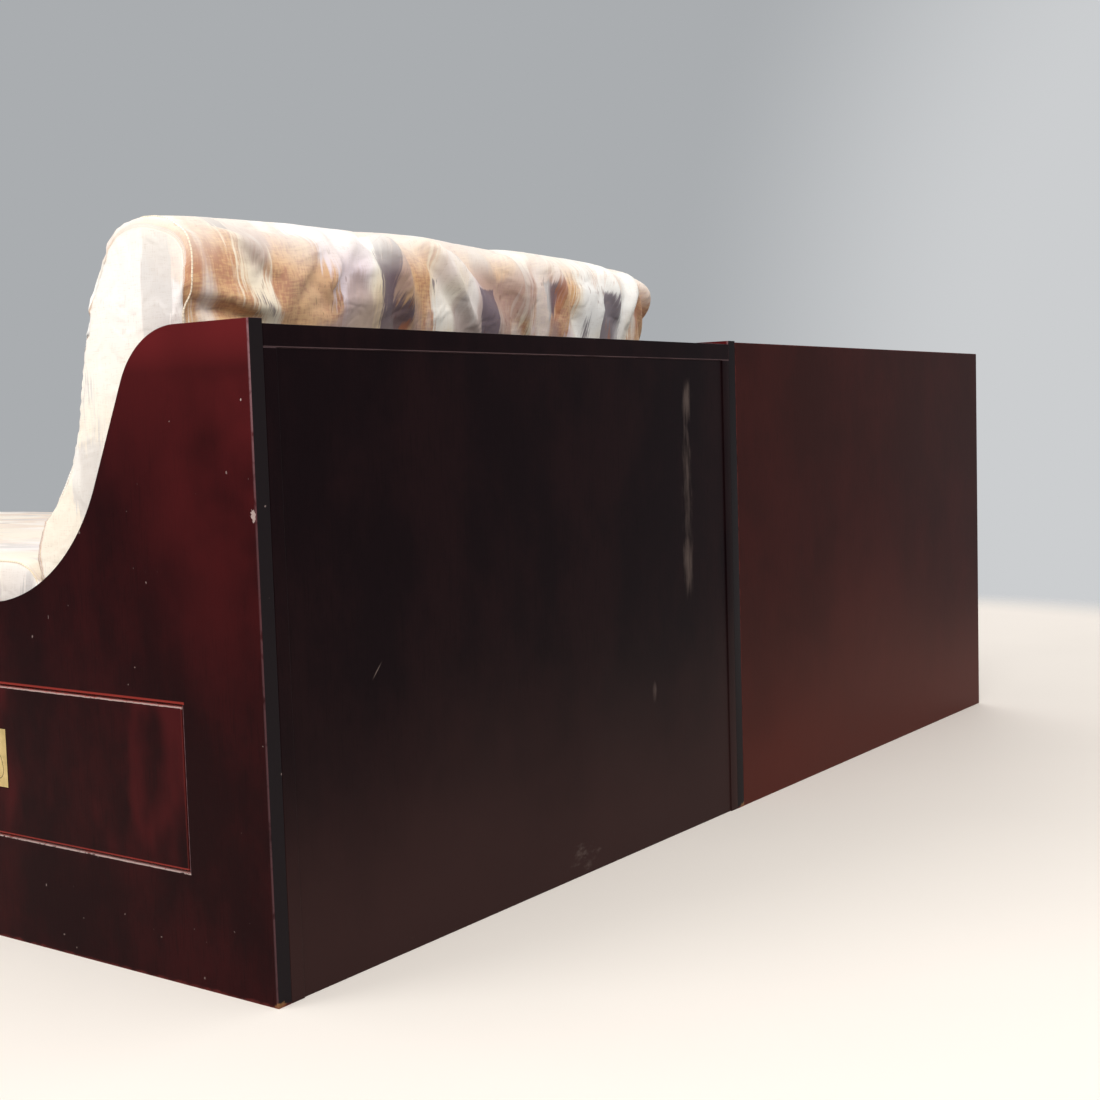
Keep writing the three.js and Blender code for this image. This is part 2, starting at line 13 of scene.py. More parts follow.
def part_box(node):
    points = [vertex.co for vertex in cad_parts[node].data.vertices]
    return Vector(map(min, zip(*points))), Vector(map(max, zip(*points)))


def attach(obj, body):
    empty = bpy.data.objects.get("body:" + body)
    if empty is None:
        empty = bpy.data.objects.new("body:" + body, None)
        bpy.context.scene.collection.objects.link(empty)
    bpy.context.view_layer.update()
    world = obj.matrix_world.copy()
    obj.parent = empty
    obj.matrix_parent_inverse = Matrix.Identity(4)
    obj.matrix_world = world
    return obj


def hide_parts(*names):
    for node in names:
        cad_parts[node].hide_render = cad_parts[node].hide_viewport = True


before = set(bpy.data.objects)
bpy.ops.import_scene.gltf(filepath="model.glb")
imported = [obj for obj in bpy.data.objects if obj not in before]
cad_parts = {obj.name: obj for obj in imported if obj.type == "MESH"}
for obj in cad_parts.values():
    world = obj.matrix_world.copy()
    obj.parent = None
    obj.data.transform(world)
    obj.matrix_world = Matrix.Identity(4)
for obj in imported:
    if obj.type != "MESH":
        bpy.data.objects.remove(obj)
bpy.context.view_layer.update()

bl_info = {
    "name": "Single Bed with Chest",
    "version": (1, 0, 0),
    "blender": (4, 5, 0),
    "location": "3D View > Sidebar > Bed",
    "description": "Dresses the packed bed: stained wood, brass handles, mattress and back cushion",
    "category": "Object",
}

MM = 0.001


def shade(red, green, blue):
    """A colour as read off a screen, 0 to 255, as the linear colour that shaders take."""
    scaled = [c / 255 for c in (red, green, blue)]
    linear = [c / 12.92 if c <= 0.04045 else ((c + 0.055) / 1.055) ** 2.4 for c in scaled]
    return (*linear, 1.0)


# Shader maths


def sum_of(operation, reflected=False):
    """An operator or method that adds its Math node."""

    def act(value, other):
        return value.maths(operation, *((other, value) if reflected else (value, other)))

    return act


class Value:
    """One shader socket that takes part in Python sums."""

    def __init__(self, shader, socket):
        self.shader = shader
        self.socket = socket

    def maths(self, operation, *values):
        return self.shader.node("ShaderNodeMath", {"operation": operation}, dict(enumerate(values)))

    __add__ = __radd__ = sum_of("ADD")
    __mul__ = __rmul__ = sum_of("MULTIPLY")
    __sub__, __rsub__ = sum_of("SUBTRACT"), sum_of("SUBTRACT", reflected=True)
    __truediv__ = sum_of("DIVIDE")
    __pow__ = sum_of("POWER")
    most = sum_of("MAXIMUM")

    def __abs__(self):
        return self.maths("ABSOLUTE", self)


class Shader:
    """A material's or a world's node tree, with one call for every kind of node."""

    def __init__(self, owner):
        self.owner = owner
        owner.use_nodes = True
        self.tree = owner.node_tree
        self.tree.nodes.clear()

    def node(self, kind, settings=None, inputs=None, output=0):
        made = self.tree.nodes.new(kind)
        for name, setting in (settings or {}).items():
            setattr(made, name, setting)
        for name, value in (inputs or {}).items():
            self.feed(made.inputs[name], value)
        return Value(self, made.outputs[output]) if len(made.outputs) else None

    def feed(self, socket, value):
        if isinstance(value, Value):
            self.tree.links.new(value.socket, socket)
        elif socket.type == "RGBA" and len(value) == 3:
            socket.default_value = (*value, 1.0)
        else:
            socket.default_value = value

    def place(self):
        return self.node("ShaderNodeTexCoord", output="Object")

    def cloth(self):
        """Where a point lies on its cloth, in metres, as set_cloth stores it."""
        return self.node("ShaderNodeAttribute", {"attribute_name": "cloth"}, output="Vector")

    def facing(self):
        """How squarely the surface looks along each axis, 0 to 1."""
        return [abs(part) for part in self.parts(self.node("ShaderNodeTexCoord", output="Normal"))]

    def parts(self, vector):
        split = self.node("ShaderNodeSeparateXYZ", inputs={0: vector}).socket.node
        return [Value(self, out) for out in split.outputs]

    def joined(self, x, y, z):
        return self.node("ShaderNodeCombineXYZ", inputs={0: x, 1: y, 2: z})

    def vectors(self, operation, *values, output=0):
        return self.node("ShaderNodeVectorMath", {"operation": operation}, dict(enumerate(values)), output)

    def scaled(self, vector, factors):
        return self.vectors("MULTIPLY", vector, factors)

    def moved(self, vector, offset):
        return self.vectors("ADD", vector, offset)

    def noise(self, vector, scale, detail=2.0, roughness=0.5, distortion=0.0, output=0):
        inputs = {"Vector": vector, "Scale": scale, "Detail": detail}
        inputs.update({"Roughness": roughness, "Distortion": distortion})
        return self.node("ShaderNodeTexNoise", inputs=inputs, output=output)

    def rise(self, value, low, high):
        """0 below low, 1 above high, and eased between."""
        inputs = {"Value": value, "From Min": low, "From Max": high}
        return self.node("ShaderNodeMapRange", {"interpolation_type": "SMOOTHSTEP"}, inputs)

    def mix(self, first, second, factor):
        inputs = {0: factor, 6: first, 7: second}
        return self.node("ShaderNodeMix", {"data_type": "RGBA"}, inputs, output=2)

    def layered(self, colour, *layers):
        """A colour with others laid over it, each given with its mask."""
        for over, mask in layers:
            colour = self.mix(colour, over, mask)
        return colour

    def blot(self, place, centre, radii):
        """1 at a centre, easing to 0 at an ellipsoid round it."""
        away = self.scaled(self.moved(place, tuple(-c for c in centre)), tuple(1 / r for r in radii))
        return self.rise(self.vectors("LENGTH", away, output="Value"), 1.0, 0.0)

    def bump(self, height, distance, strength=1.0, normal=None):
        inputs = {"Height": height, "Distance": distance, "Strength": strength}
        if normal is not None:
            inputs["Normal"] = normal
        return self.node("ShaderNodeBump", inputs=inputs)

    def principled(self, **sockets):
        """The main shader, by its socket names."""
        named = {name.replace("_", " "): value for name, value in sockets.items()}
        return self.node("ShaderNodeBsdfPrincipled", inputs=named)

    def surface(self, **sockets):
        """The material with the main shader alone."""
        self.node("ShaderNodeOutputMaterial", inputs={"Surface": self.principled(**sockets)})
        return self.owner


def scaled_colour(colour, factor, lift=0.0):
    """A colour made darker or lighter."""
    return tuple(c * factor + lift for c in colour[:3])


def new_shader(name):
    return Shader(bpy.data.materials.new(name))


# Materials


def stained_wood(name, stain, bright, roughness, gloss, marks=None):
    """Veneer with upright grain under a satin lacquer.

    marks adds wear, and on some boards painted light: a highlight along the side panels' top and a reflection
    of the floor low on the back. It takes a shader, a place, a colour and a roughness, and returns the last
    two.
    """
    s = new_shader(name)
    place = s.place()
    wander = s.noise(place, 1.7, 2)
    figure = s.noise(s.scaled(place, (1, 1, 0.07)), 13, 4, 0.6, 0.3)
    cloud = s.noise(s.scaled(place, (1, 1, 0.7)), 7, 5, 0.62)
    pores = s.noise(s.scaled(place, (1, 1, 0.05)), 620, 1)
    speck = s.noise(place, 900, 0)
    tone = s.rise(figure * 0.22 + cloud * 0.78, 0.4, 0.62)
    colour = s.mix(stain, bright, tone)
    colour = s.mix(colour, scaled_colour(stain, 0.55), s.rise(pores, 0.55, 0.7) * 0.4)
    colour = s.mix(colour, scaled_colour(bright, 2, 0.006), s.rise(speck, 0.72, 0.8) * 0.25)
    rough = roughness + (wander - 0.5) * 0.12 + (pores - 0.5) * 0.08
    if marks:
        colour, rough = marks(s, place, colour, rough)
    grain = s.bump(pores * 0.5 + figure * 0.5, 0.25 * MM, 0.35)
    return s.surface(Base_Color=colour, Roughness=rough, IOR=1.45, Specular_IOR_Level=gloss, Normal=grain)


def plain_wood(name, pale, deep, along, roughness=0.55):
    """Sealed inner boards and slats. Upright boards have level grain, and flat ones grain along X or Y."""
    s = new_shader(name)
    place = s.place()
    faces_x, faces_y, _ = (s.rise(part, 0.5, 0.7) for part in s.facing())
    grain_x, grain_y = (
        s.noise(s.scaled(place, way), 70, 3, 0.6, 0.4) for way in ((0.05, 1, 1), (1, 0.05, 1))
    )
    turned = faces_y if along == "Y" else 1 - faces_x
    lines = grain_x * turned + grain_y * (1 - turned)
    cloud = s.noise(place, 3, 2)
    colour = s.mix(pale, deep, s.rise(lines * 0.7 + cloud * 0.3, 0.35, 0.7))
    return s.surface(
        Base_Color=colour,
        Roughness=roughness + (lines - 0.5) * 0.1,
        Normal=s.bump(lines, 0.2 * MM, 0.4),
    )


def beyond(s, place, low, high):
    """How far a place lies outside an upright rectangle, seen along its thin side; less than 0 inside."""
    axis = 0 if high[1] - low[1] < high[0] - low[0] else 1
    parts = s.parts(place)
    out = [abs(parts[k] - (low[k] + high[k]) / 2) - (high[k] - low[k]) / 2 for k in (axis, 2)]
    return out[0].most(out[1])


def band(s, value, width, middle=0.0):
    """1 where a value is at the middle, 0 from a width away."""
    return s.rise(abs(value - middle), width, width * 0.4)


def chipped(s, place, colour, mask, bare, share=0.5):
    """A pale, broken line of chips where a mask is."""
    ragged = s.noise(place, 190, 3, 0.7) * 0.6 + s.noise(place, 30, 2) * 0.4
    return s.mix(colour, bare, mask * s.rise(ragged, 0.62 - share * 0.3, 0.72 - share * 0.3) * 0.85)


def side_marks(openings, face, corner):
    """Wear of a side panel: its dark back edge, rubbed corner, raw drawer openings and pale specks, with
    redder, lighter patches high up and near the back, and a painted highlight along its top.

    face is the X of its outer face and corner the Y of its back edge.
    """

    def marks(s, place, colour, rough):
        wood = bpy.context.scene.bed_wood
        x, y, z = s.parts(place)
        inward = abs(x - face)
        from_back = y - corner
        high = s.rise(z, 0.5, 0.75)
        # Redder and lighter near the back corner and over the upper part; the strip along the top of the
        # S-curve is a painted highlight.
        red_patch_and_painted_highlight = s.rise(from_back, 0.24, 0.01) * s.rise(z, 0.3, 0.58) * s.rise(s.noise(place, 5, 3), 0.25, 0.6)
        red_patch_and_painted_highlight = (red_patch_and_painted_highlight * 0.55).most(high * 0.4).most(s.rise(z, 0.66, 0.745) * 0.85)
        dull = s.rise(s.noise(s.scaled(place, (1, 1, 0.4)), 4.3, 2), 0.5, 0.72)
        colour = s.layered(colour, (wood.red_patch_and_painted_highlight, red_patch_and_painted_highlight), (scaled_colour(wood.side, 0.45), dull * 0.5))
        for low, top in openings:
            out = beyond(s, place, low, top)
            gap = s.rise(out, 0.6 * MM, 0.3 * MM) * s.rise(inward, 0.6 * MM, 1.2 * MM)
            lip = s.rise(out, 3.4 * MM, 2.2 * MM) * s.rise(z, top[2] - 0.5 * MM, top[2])
            colour = s.mix(colour, wood.raw, gap.most(lip * 0.34))
            line = band(s, out + (s.noise(place, 130, 3) - 0.5) * 1.4 * MM, 1.1 * MM, 0.5 * MM)
            foot = s.rise(z, low[2] + 1.5 * MM, low[2])
            colour = chipped(s, place, colour, line * foot, wood.bare, 0.8)
            sides = line * (1 - foot) * s.rise(z, top[2], top[2] - 2 * MM)
            colour = s.mix(colour, wood.rubbed, sides * 0.5)
        rubbed = s.rise(from_back, 4.2 * MM, 2.2 * MM) * (0.25 + high * 0.75)
        chip = s.blot(place, (face, corner, 0.0), (0.02, 0.012, 0.014)) + (s.noise(place, 210, 2) - 0.5)
        nick = s.blot(place, (face, corner + 0.006, 0.54), (0.02, 0.008, 0.014))
        nick = nick.most(s.blot(place, (face, corner + 0.017, 0.664), (0.02, 0.002, 0.0035)))
        torn = s.rise(nick + (s.noise(place, 170, 3, 0.7) - 0.5) * 1.6, 0.5, 0.7) * s.rise(nick, 0.0, 0.1)
        colour = s.layered(
            colour,
            (wood.rubbed, rubbed * s.rise(s.noise(place, 95, 4), 0.25, 0.5) * 0.8),
            (wood.edge, s.rise(from_back, 0.7 * MM, 0.2 * MM)),
            (wood.inner_deep, s.rise(chip, 0.35, 0.6) * 0.7),
            (wood.bare, torn * 0.8),
            (wood.bare, s.rise(s.noise(place, 150, 0), 0.865, 0.885) * 0.35),
            (wood.worn, s.rise(z + s.noise(place, 60, 3) * 0.01, 0.009, 0.005) * 0.5),
        )
        return colour, rough + rubbed * 0.2

    return marks


def back_marks(s, place, colour, rough):
    """Rubbed streaks, a scratch and scuffs on the boards at the back, and a painted reflection of the floor
    near their foot.
    """
    wood = bpy.context.scene.bed_wood
    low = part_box("near_side_panel")[0]
    x, _, z = s.parts(place)

    def at(along, height, wide, tall):
        return s.blot(place, (low.x + along, low.y, height), (wide, 0.05, tall))

    fine = s.noise(s.scaled(place, (1, 1, 0.16)), 150, 4, 0.65)
    streak = at(0.900, 0.655, 0.024, 0.07).most(at(0.895, 0.41, 0.028, 0.09))
    streak = streak.most(at(0.897, 0.53, 0.03, 0.26) * 0.7).most(at(0.79, 0.23, 0.01, 0.03))
    drift = s.noise(place, 4, 3) * 0.2 - 0.1
    low_rub = at(0.6, 0.025, 0.09, 0.04).most(at(0.22, 0.02, 0.05, 0.018) * 0.6)
    smear = s.noise(s.scaled(place, (0.5, 1, 1)), 75, 5, 0.65)
    slant = (z - 0.347) - (x - low.x - 0.182) * 1.1
    scratch = at(0.182, 0.347, 0.016, 0.014) * band(s, slant, 1.6 * MM)
    joint = band(s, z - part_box("headboard_cap")[0].z, 1.3 * MM)
    colour = s.layered(
        colour,
        (wood.scuff, s.rise(streak + (fine - 0.5) * 1.3, 0.3, 1.2) * 0.55),
        # Painted reflection of the floor: lighter towards the foot of the back.
        (wood.painted_floor_reflection, s.rise(z + drift, 0.36, 0.0) * 0.7),
        (wood.scuff, s.rise(low_rub * 0.5 + (smear - 0.5) * 1.6, 0.35, 0.8) * 0.5),
        (wood.scuff, scratch * 0.8),
        (wood.joint, joint * s.rise(s.noise(place, 12, 3), 0.25, 0.5) * 0.9),
    )
    return colour, rough + s.rise(streak, 0.2, 0.8) * 0.15


def brass(name, face):
    """Cast brass plates, brushed along their length, dulled by handling, and dark with dirt and painted shade
    round their rims and in their gaps.

    face is the axis, 0 for X or 1 for Y, that their faces look along.
    """
    metal = bpy.context.scene.bed_handles
    s = new_shader(name)
    place = s.place()
    brushed = s.noise(s.scaled(place, (0.06, 0.06, 1)), 1400, 2)
    cloud = s.noise(place, 42, 4, 0.6)
    colour = s.mix(metal.brass, metal.tarnish, s.rise(cloud, 0.42, 0.72) * 0.6)
    # Dirt and painted shade on every face that does not look forward: the plates' rims and the walls of the
    # flaps' gaps.
    dirt_and_shade = s.rise(s.facing()[face], 0.97, 0.9)
    return s.surface(
        Base_Color=s.mix(colour, metal.dirt_and_shade, dirt_and_shade),
        Metallic=1 - dirt_and_shade,
        Roughness=metal.roughness + (brushed - 0.5) * 0.16 + (cloud - 0.5) * 0.2 + dirt_and_shade * 0.3,
        Normal=s.bump(brushed, 0.05 * MM, 0.25),
    )


def steel():
    """Plated steel of the bolts."""
    colour = bpy.context.scene.bed_handles.steel
    s = new_shader("Plated_steel")
    cloud = s.noise(s.place(), 300, 2)
    return s.surface(Base_Color=colour, Metallic=1.0, Roughness=0.32 + (cloud - 0.5) * 0.2)


def printed_cotton(name, strength, painted_glare_above, painted_glare_past):
    """Slubbed cotton with loose upright washes and strokes in earth colours, on the cloth's own metres.

    The print is washed out towards white above a height, and on the cloth whose first measure is past a
    second limit, as painted glare where light falls full.
    """
    fabric = bpy.context.scene.bed_fabric
    s = new_shader(name)
    place = s.place()
    across, along, _ = s.parts(s.cloth())
    flat = s.joined(across, along, 0.0)
    bend = s.noise(flat, 3.4, 2, 0.5, output="Color")
    bent = s.vectors("MULTIPLY_ADD", bend, (0.07, 0.2, 0), flat)
    bristles = s.noise(s.scaled(flat, (1, 0.06, 1)), 250, 3, 0.6)
    drag = s.noise(s.scaled(flat, (1, 0.4, 1)), 60, 3, 0.6)
    ragged = (bristles - 0.5) * 0.14 + (drag - 0.5) * 0.06

    def paint(shift, wide, tall, level, soft, cut=0.0):
        """Upright brush strokes of about that width and height, broken across where cut is above 0."""
        spot = s.moved(s.scaled(bent, (1, wide / tall, 1)), (shift, shift * 0.7, shift))
        stroke = s.noise(spot, 0.75 / wide, 1, 0.4) + ragged * (0.03 / soft + 0.1)
        stroke = s.rise(stroke, level, level + soft)
        if not cut:
            return stroke
        spot = s.moved(s.scaled(bent, (0.35, 1, 1)), (shift * 2, 0, shift))
        return stroke * s.rise(s.noise(spot, 1.1 / tall, 1) + ragged * 0.5, cut, cut + 0.025)

    def threads(fineness, stretch, roughness=0.5):
        """Noise drawn out along both ways of the cloth."""
        ways = ((1, stretch, 1), (stretch, 1, 1))
        return sum(s.noise(s.scaled(flat, way), fineness, 2, roughness) * 0.5 for way in ways)

    colour = s.mix(fabric.cream, fabric.white, s.rise(s.noise(flat, 4.2, 3), 0.42, 0.62))
    earth = threads(380, 0.2) + (drag - 0.5) * 0.3 + (s.noise(flat, 13, 2) - 0.5) * 0.7
    earth = s.mix(fabric.ochre, fabric.rust, s.rise(earth, 0.36, 0.68))
    slate = s.mix(fabric.slate, fabric.taupe, paint(21.5, 0.055, 0.2, 0.65, 0.06) * 0.6)
    drips = s.noise(s.scaled(flat, (1, 0.25, 1)), 210, 1) * s.rise(s.noise(flat, 11, 1), 0.5, 0.62)
    colour = s.layered(
        colour,
        (fabric.lilac, paint(7.1, 0.1, 0.25, 0.5, 0.14) * 0.85),
        (fabric.straw, paint(3.3, 0.12, 0.25, 0.48, 0.12) * 0.8),
        (earth, paint(11.2, 0.1, 0.26, 0.49, 0.035, 0.42) * 0.85),
        (fabric.taupe, paint(31.9, 0.08, 0.22, 0.58, 0.07) * 0.7),
        (slate, paint(21.4, 0.055, 0.2, 0.58, 0.03, 0.43) * 0.85),
        (fabric.rust, paint(44.6, 0.04, 0.16, 0.64, 0.03, 0.45) * 0.75),
        (fabric.white, paint(52.3, 0.045, 0.2, 0.62, 0.08) * 0.55),
        (fabric.fleck, s.rise(drips, 0.61, 0.68) * 0.4),
    )
    height = s.parts(place)[2] + (s.noise(place, 9, 3) - 0.5) * 0.05
    # Painted glare: the print washes out towards white over the top and on the boxed ends.
    keep = 1 - s.rise(height, painted_glare_above, painted_glare_above + 0.06) * 0.75
    keep = keep * (1 - s.rise(across, painted_glare_past, painted_glare_past + 0.01) * 0.68)
    colour = s.mix(s.mix(fabric.white, fabric.cream, s.noise(flat, 6, 2) * 0.5), colour, keep * strength)
    weave = threads(640, 0.1, 0.6)
    colour = s.mix(colour, fabric.shadow, s.rise(weave, 0.5, 0.32) * 0.22)
    creases = abs(s.noise(place, 17, 2, 0.5, 0.6) - 0.5) * 2
    crumpled = s.bump(s.rise(creases, 0.0, 0.35), 2.2 * MM, 0.5)
    return s.surface(
        Base_Color=colour,
        Roughness=0.86 + (weave - 0.5) * 0.2,
        Specular_IOR_Level=0.25,
        Sheen_Weight=0.12,
        Sheen_Roughness=0.5,
        Normal=s.bump(weave, 0.5 * MM, 0.45, crumpled),
    )


def welt_cotton():
    """The narrow folded strip at the seams, with its stitches."""
    fabric = bpy.context.scene.bed_fabric
    s = new_shader("Welt_cotton")
    stitches = s.parts(s.cloth())[1] / (4.2 * MM)
    stitch = abs(stitches.maths("FRACT", stitches) - 0.5) * 2
    colour = s.mix(fabric.white, fabric.cream, s.rise(s.noise(s.place(), 9, 2), 0.35, 0.65))
    colour = s.mix(colour, fabric.shadow, s.rise(stitch, 0.75, 0.95) * 0.5)
    relief = s.bump(1 - stitch, 0.5 * MM, 0.6)
    return s.surface(Base_Color=colour, Roughness=0.88, Specular_IOR_Level=0.25, Normal=relief)


# Mesh helpers


def give(obj, material):
    obj.data.materials.clear()
    obj.data.materials.append(material)


def dress(names, material, round_edge, clearance=0.0):
    """A finish on CAD nodes, with their sharp edges slightly rounded, and drawn in by a clearance."""
    rounded = {"width": round_edge, "segments": 2, "limit_method": "ANGLE", "use_clamp_overlap": True}
    steps = [
        ("WELD", {"merge_threshold": 0.02 * MM}),
        ("DISPLACE", {"strength": -clearance, "mid_level": 0}),
        ("DECIMATE", {"decimate_type": "DISSOLVE", "angle_limit": math.radians(0.4)}),
        ("BEVEL", {**rounded, "angle_limit": math.radians(40)}),
        ("EDGE_SPLIT", {"split_angle": math.radians(16)}),
    ]
    for name in names:
        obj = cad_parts[name]
        give(obj, material)
        obj.data.polygons.foreach_set("use_smooth", [True] * len(obj.data.polygons))
        for kind, settings in steps:
            if kind == "DISPLACE" and not clearance:
                continue
            modifier = obj.modifiers.new(kind.title(), kind)
            for key, setting in settings.items():
                setattr(modifier, key, setting)


def linked(name, data):
    obj = bpy.data.objects.new(name, data)
    bpy.context.scene.collection.objects.link(obj)
    return obj


def mesh_object(name, points, faces, smooth=True):
    mesh = bpy.data.meshes.new(name)
    mesh.from_pydata([tuple(p) for p in points], [], [tuple(f) for f in faces])
    mesh.validate()
    if smooth:
        mesh.polygons.foreach_set("use_smooth", [True] * len(mesh.polygons))
    return linked(name, mesh)


def rows(items, key):
    """A mesh's points or normals as rows of three numbers."""
    flat = np.empty(len(items) * 3)
    items.foreach_get(key, flat)
    return flat.reshape(-1, 3)


def points_of(obj):
    return rows(obj.data.vertices, "co")


def set_points(obj, points):
    obj.data.vertices.foreach_set("co", np.asarray(points, np.float64).ravel())
    obj.data.update()


def push_out(obj, distance):
    """Moves each point along its normal."""
    set_points(obj, points_of(obj) + rows(obj.data.vertex_normals, "vector") * distance[:, None])


def set_cloth(obj, across, along):
    """Stores where each point lies on the cloth before it was sewn, in metres."""
    layer = obj.data.attributes.new("cloth", "FLOAT_VECTOR", "POINT")
    layer.data.foreach_set("vector", np.stack([across, along, 0 * along], 1).astype(np.float32).ravel())


def subdivide(obj):
    """Smooths a cover's mesh once, for good."""
    modifier = obj.modifiers.new("Subdivision", "SUBSURF")
    modifier.levels = modifier.render_levels = 1
    with bpy.context.temp_override(object=obj, active_object=obj, selected_objects=[obj]):
        bpy.ops.object.modifier_apply(modifier=modifier.name)


def ease(value, low, high):
    share = np.clip((value - low) / (high - low), 0, 1)
    return share * share * (3 - 2 * share)


def ripple(points, size, seed):
    """Smooth noise from -1 to 1 at each point, with features of about that size in metres."""
    return np.array([noise.noise(Vector(p) / size + Vector((seed, seed * 0.37, -seed))) for p in points])


def even(points, count):
    """A closed path's points spaced evenly along it."""
    ring = np.vstack([points, points[:1]])
    run = np.concatenate([[0], np.cumsum(np.linalg.norm(np.diff(ring, axis=0), axis=1))])
    stations = np.linspace(0, run[-1], count, endpoint=False)
    return np.stack([np.interp(stations, run, ring[:, k]) for k in range(points.shape[1])], 1)


def between_sides(points, room):
    """Keeps points between the two side panels, with some room."""
    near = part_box("near_side_panel")[1].x + room
    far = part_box("far_side_panel")[0].x - room
    points[:, 0] = np.clip(points[:, 0], near, far)


def strip(first, second, count):
    """Faces between two closed rows of points, by the number of the first point in each."""
    pairs = [(j, (j + 1) % count) for j in range(count)]
    return [(first + j, first + k, second + k, second + j) for j, k in pairs]


def unit(vectors):
    return vectors / np.linalg.norm(vectors, axis=1)[:, None]


def laid_on(cover, path, lift, rounds):
    """A closed path moved onto a cover, with a lift off it, then smoothed for some rounds."""
    tree = BVHTree.FromObject(cover, bpy.context.evaluated_depsgraph_get())
    hits = [tree.find_nearest(Vector(point)) for point in path]
    path = np.array([np.array(hit[0]) + np.array(hit[1]) * lift for hit in hits])
    for _ in range(rounds):
        path = (np.roll(path, 1, 0) + 2 * path + np.roll(path, -1, 0)) / 4
    return path


def welt(name, path, radius):
    """A thin round welt along a closed path, with its cloth places."""
    count, sides = len(path), 8
    after = np.roll(path, -1, 0)
    forward = unit(after - np.roll(path, 1, 0))
    outward = path - path.mean(0)
    outward = unit(outward - (outward * forward).sum(1)[:, None] * forward)
    sideways = np.cross(forward, outward)
    angles = np.arange(sides) * 2 * math.pi / sides
    rings = [path + radius * (math.cos(a) * outward + math.sin(a) * sideways) for a in angles]
    faces = []
    for i in range(count):
        after_i = (i + 1) % count
        faces += [(a, d, c, b) for a, b, c, d in strip(i * sides, after_i * sides, sides)]
    obj = mesh_object(name, np.stack(rings, 1).reshape(-1, 3), faces)
    steps = np.linalg.norm(after - path, axis=1)
    set_cloth(obj, np.tile(angles, count) * radius, np.repeat(np.cumsum(steps), sides))
    return obj


def inflate(obj, pressure, frames, cap, shrink, stiffness=14):
    """Lets a cover swell and crease as cloth for a few frames. No point moves further than its cap."""
    scene = bpy.context.scene
    before = points_of(obj)
    cloth = obj.modifiers.new("Cloth", "CLOTH")
    settings = cloth.settings
    settings.quality = 5
    settings.mass = 0.3
    settings.tension_stiffness = settings.compression_stiffness = stiffness
    settings.shear_stiffness = stiffness / 2
    settings.bending_stiffness = 0.4
    settings.shrink_min = shrink
    settings.use_pressure = True
    settings.uniform_pressure_force = pressure
    settings.effector_weights.gravity = 0
    cloth.point_cache.frame_start = 1
    cloth.point_cache.frame_end = frames
    for step in range(1, frames + 1):
        scene.frame_set(step)
    moved = points_of(obj.evaluated_get(bpy.context.evaluated_depsgraph_get())) - before
    obj.modifiers.remove(cloth)
    scene.frame_set(1)
    size = np.linalg.norm(moved, axis=1)
    scale = np.minimum(1, cap / np.maximum(size, 1e-9))
    set_points(obj, before + moved * scale[:, None])


# Settings that a user would change


def tint(name, description, *screen):
    """A colour, with its default as read off a screen, 0 to 255."""
    return FloatVectorProperty(
        name=name, description=description, size=4, subtype="COLOR", min=0, max=1, default=shade(*screen)
    )


def amount(name, description, default, **limits):
    """A number with its lower or upper limit, or a length in metres where no limit is given."""
    kind = limits or {"unit": "LENGTH"}
    return FloatProperty(name=name, description=description, default=default, **kind)


class WoodSettings(PropertyGroup):
    """Colours and finish of the boards."""

    side: tint("Side stain", "Stain of the side panels and drawer fronts", 27, 4, 6)
    side_bright: tint("Side highlight", "Lighter figure in the side panels", 44, 8, 10)
    # Also the painted highlight along the top of the side panels; elsewhere a redder tone in places.
    red_patch_and_painted_highlight: tint("Warm patch", "Redder stain where a side panel has had less wear", 100, 27, 29)
    back: tint("Back stain", "Near-black stain of the headboard's back", 19, 9, 12)
    back_bright: tint("Back highlight", "Lighter figure in the headboard's back", 27, 13, 15)
    # A painted reflection of the floor, laid over the lower part of the headboard's back.
    painted_floor_reflection: tint("Back, low", "Duller stain near the floor", 58, 38, 36)
    edge: tint("Panel edge", "Grey-black edge of the side panels at the back", 28, 23, 25)
    joint: tint("Joint line", "Thin pale line under the headboard's cap", 96, 76, 78)
    chest: tint("Chest stain", "Stain of the chest", 45, 14, 11)
    chest_bright: tint("Chest highlight", "Lighter figure in the chest", 53, 17, 14)
    chest_low: tint("Chest, low", "Redder stain near the floor", 86, 38, 30)
    worn: tint("Worn edge", "Rubbed red-brown along the edges", 110, 46, 42)
    raw: tint("Raw edge", "Unstained red wood inside the drawer gaps", 208, 74, 62)
    rubbed: tint("Rubbed corner", "Greyed rose of the rubbed back corners", 138, 104, 108)
    bare: tint("Bare chip", "Pale base where the stain has chipped off", 182, 160, 154)
    scuff: tint("Scuff", "Grey-brown rubbed marks on the back", 104, 90, 84)
    inner: tint("Inner board", "Pale sealed boards inside", 172, 132, 92)
    inner_deep: tint("Inner grain", "Darker grain of the inner boards", 138, 98, 62)
    slat: tint("Slat", "Pale wood of the slats", 214, 182, 136)
    slat_deep: tint("Slat grain", "Darker grain of the slats", 184, 146, 98)
    roughness: amount("Lacquer roughness", "How satin the lacquer is", 0.36, min=0, max=1)
    gloss: amount("Side gloss", "Specular level of the side panels", 0.05, min=0, max=1)
    back_gloss: amount("Back gloss", "Specular level at the back", 0.04, min=0, max=1)
    round_edge: amount("Rounded edge", "Radius along the boards' edges", 0.9 * MM)


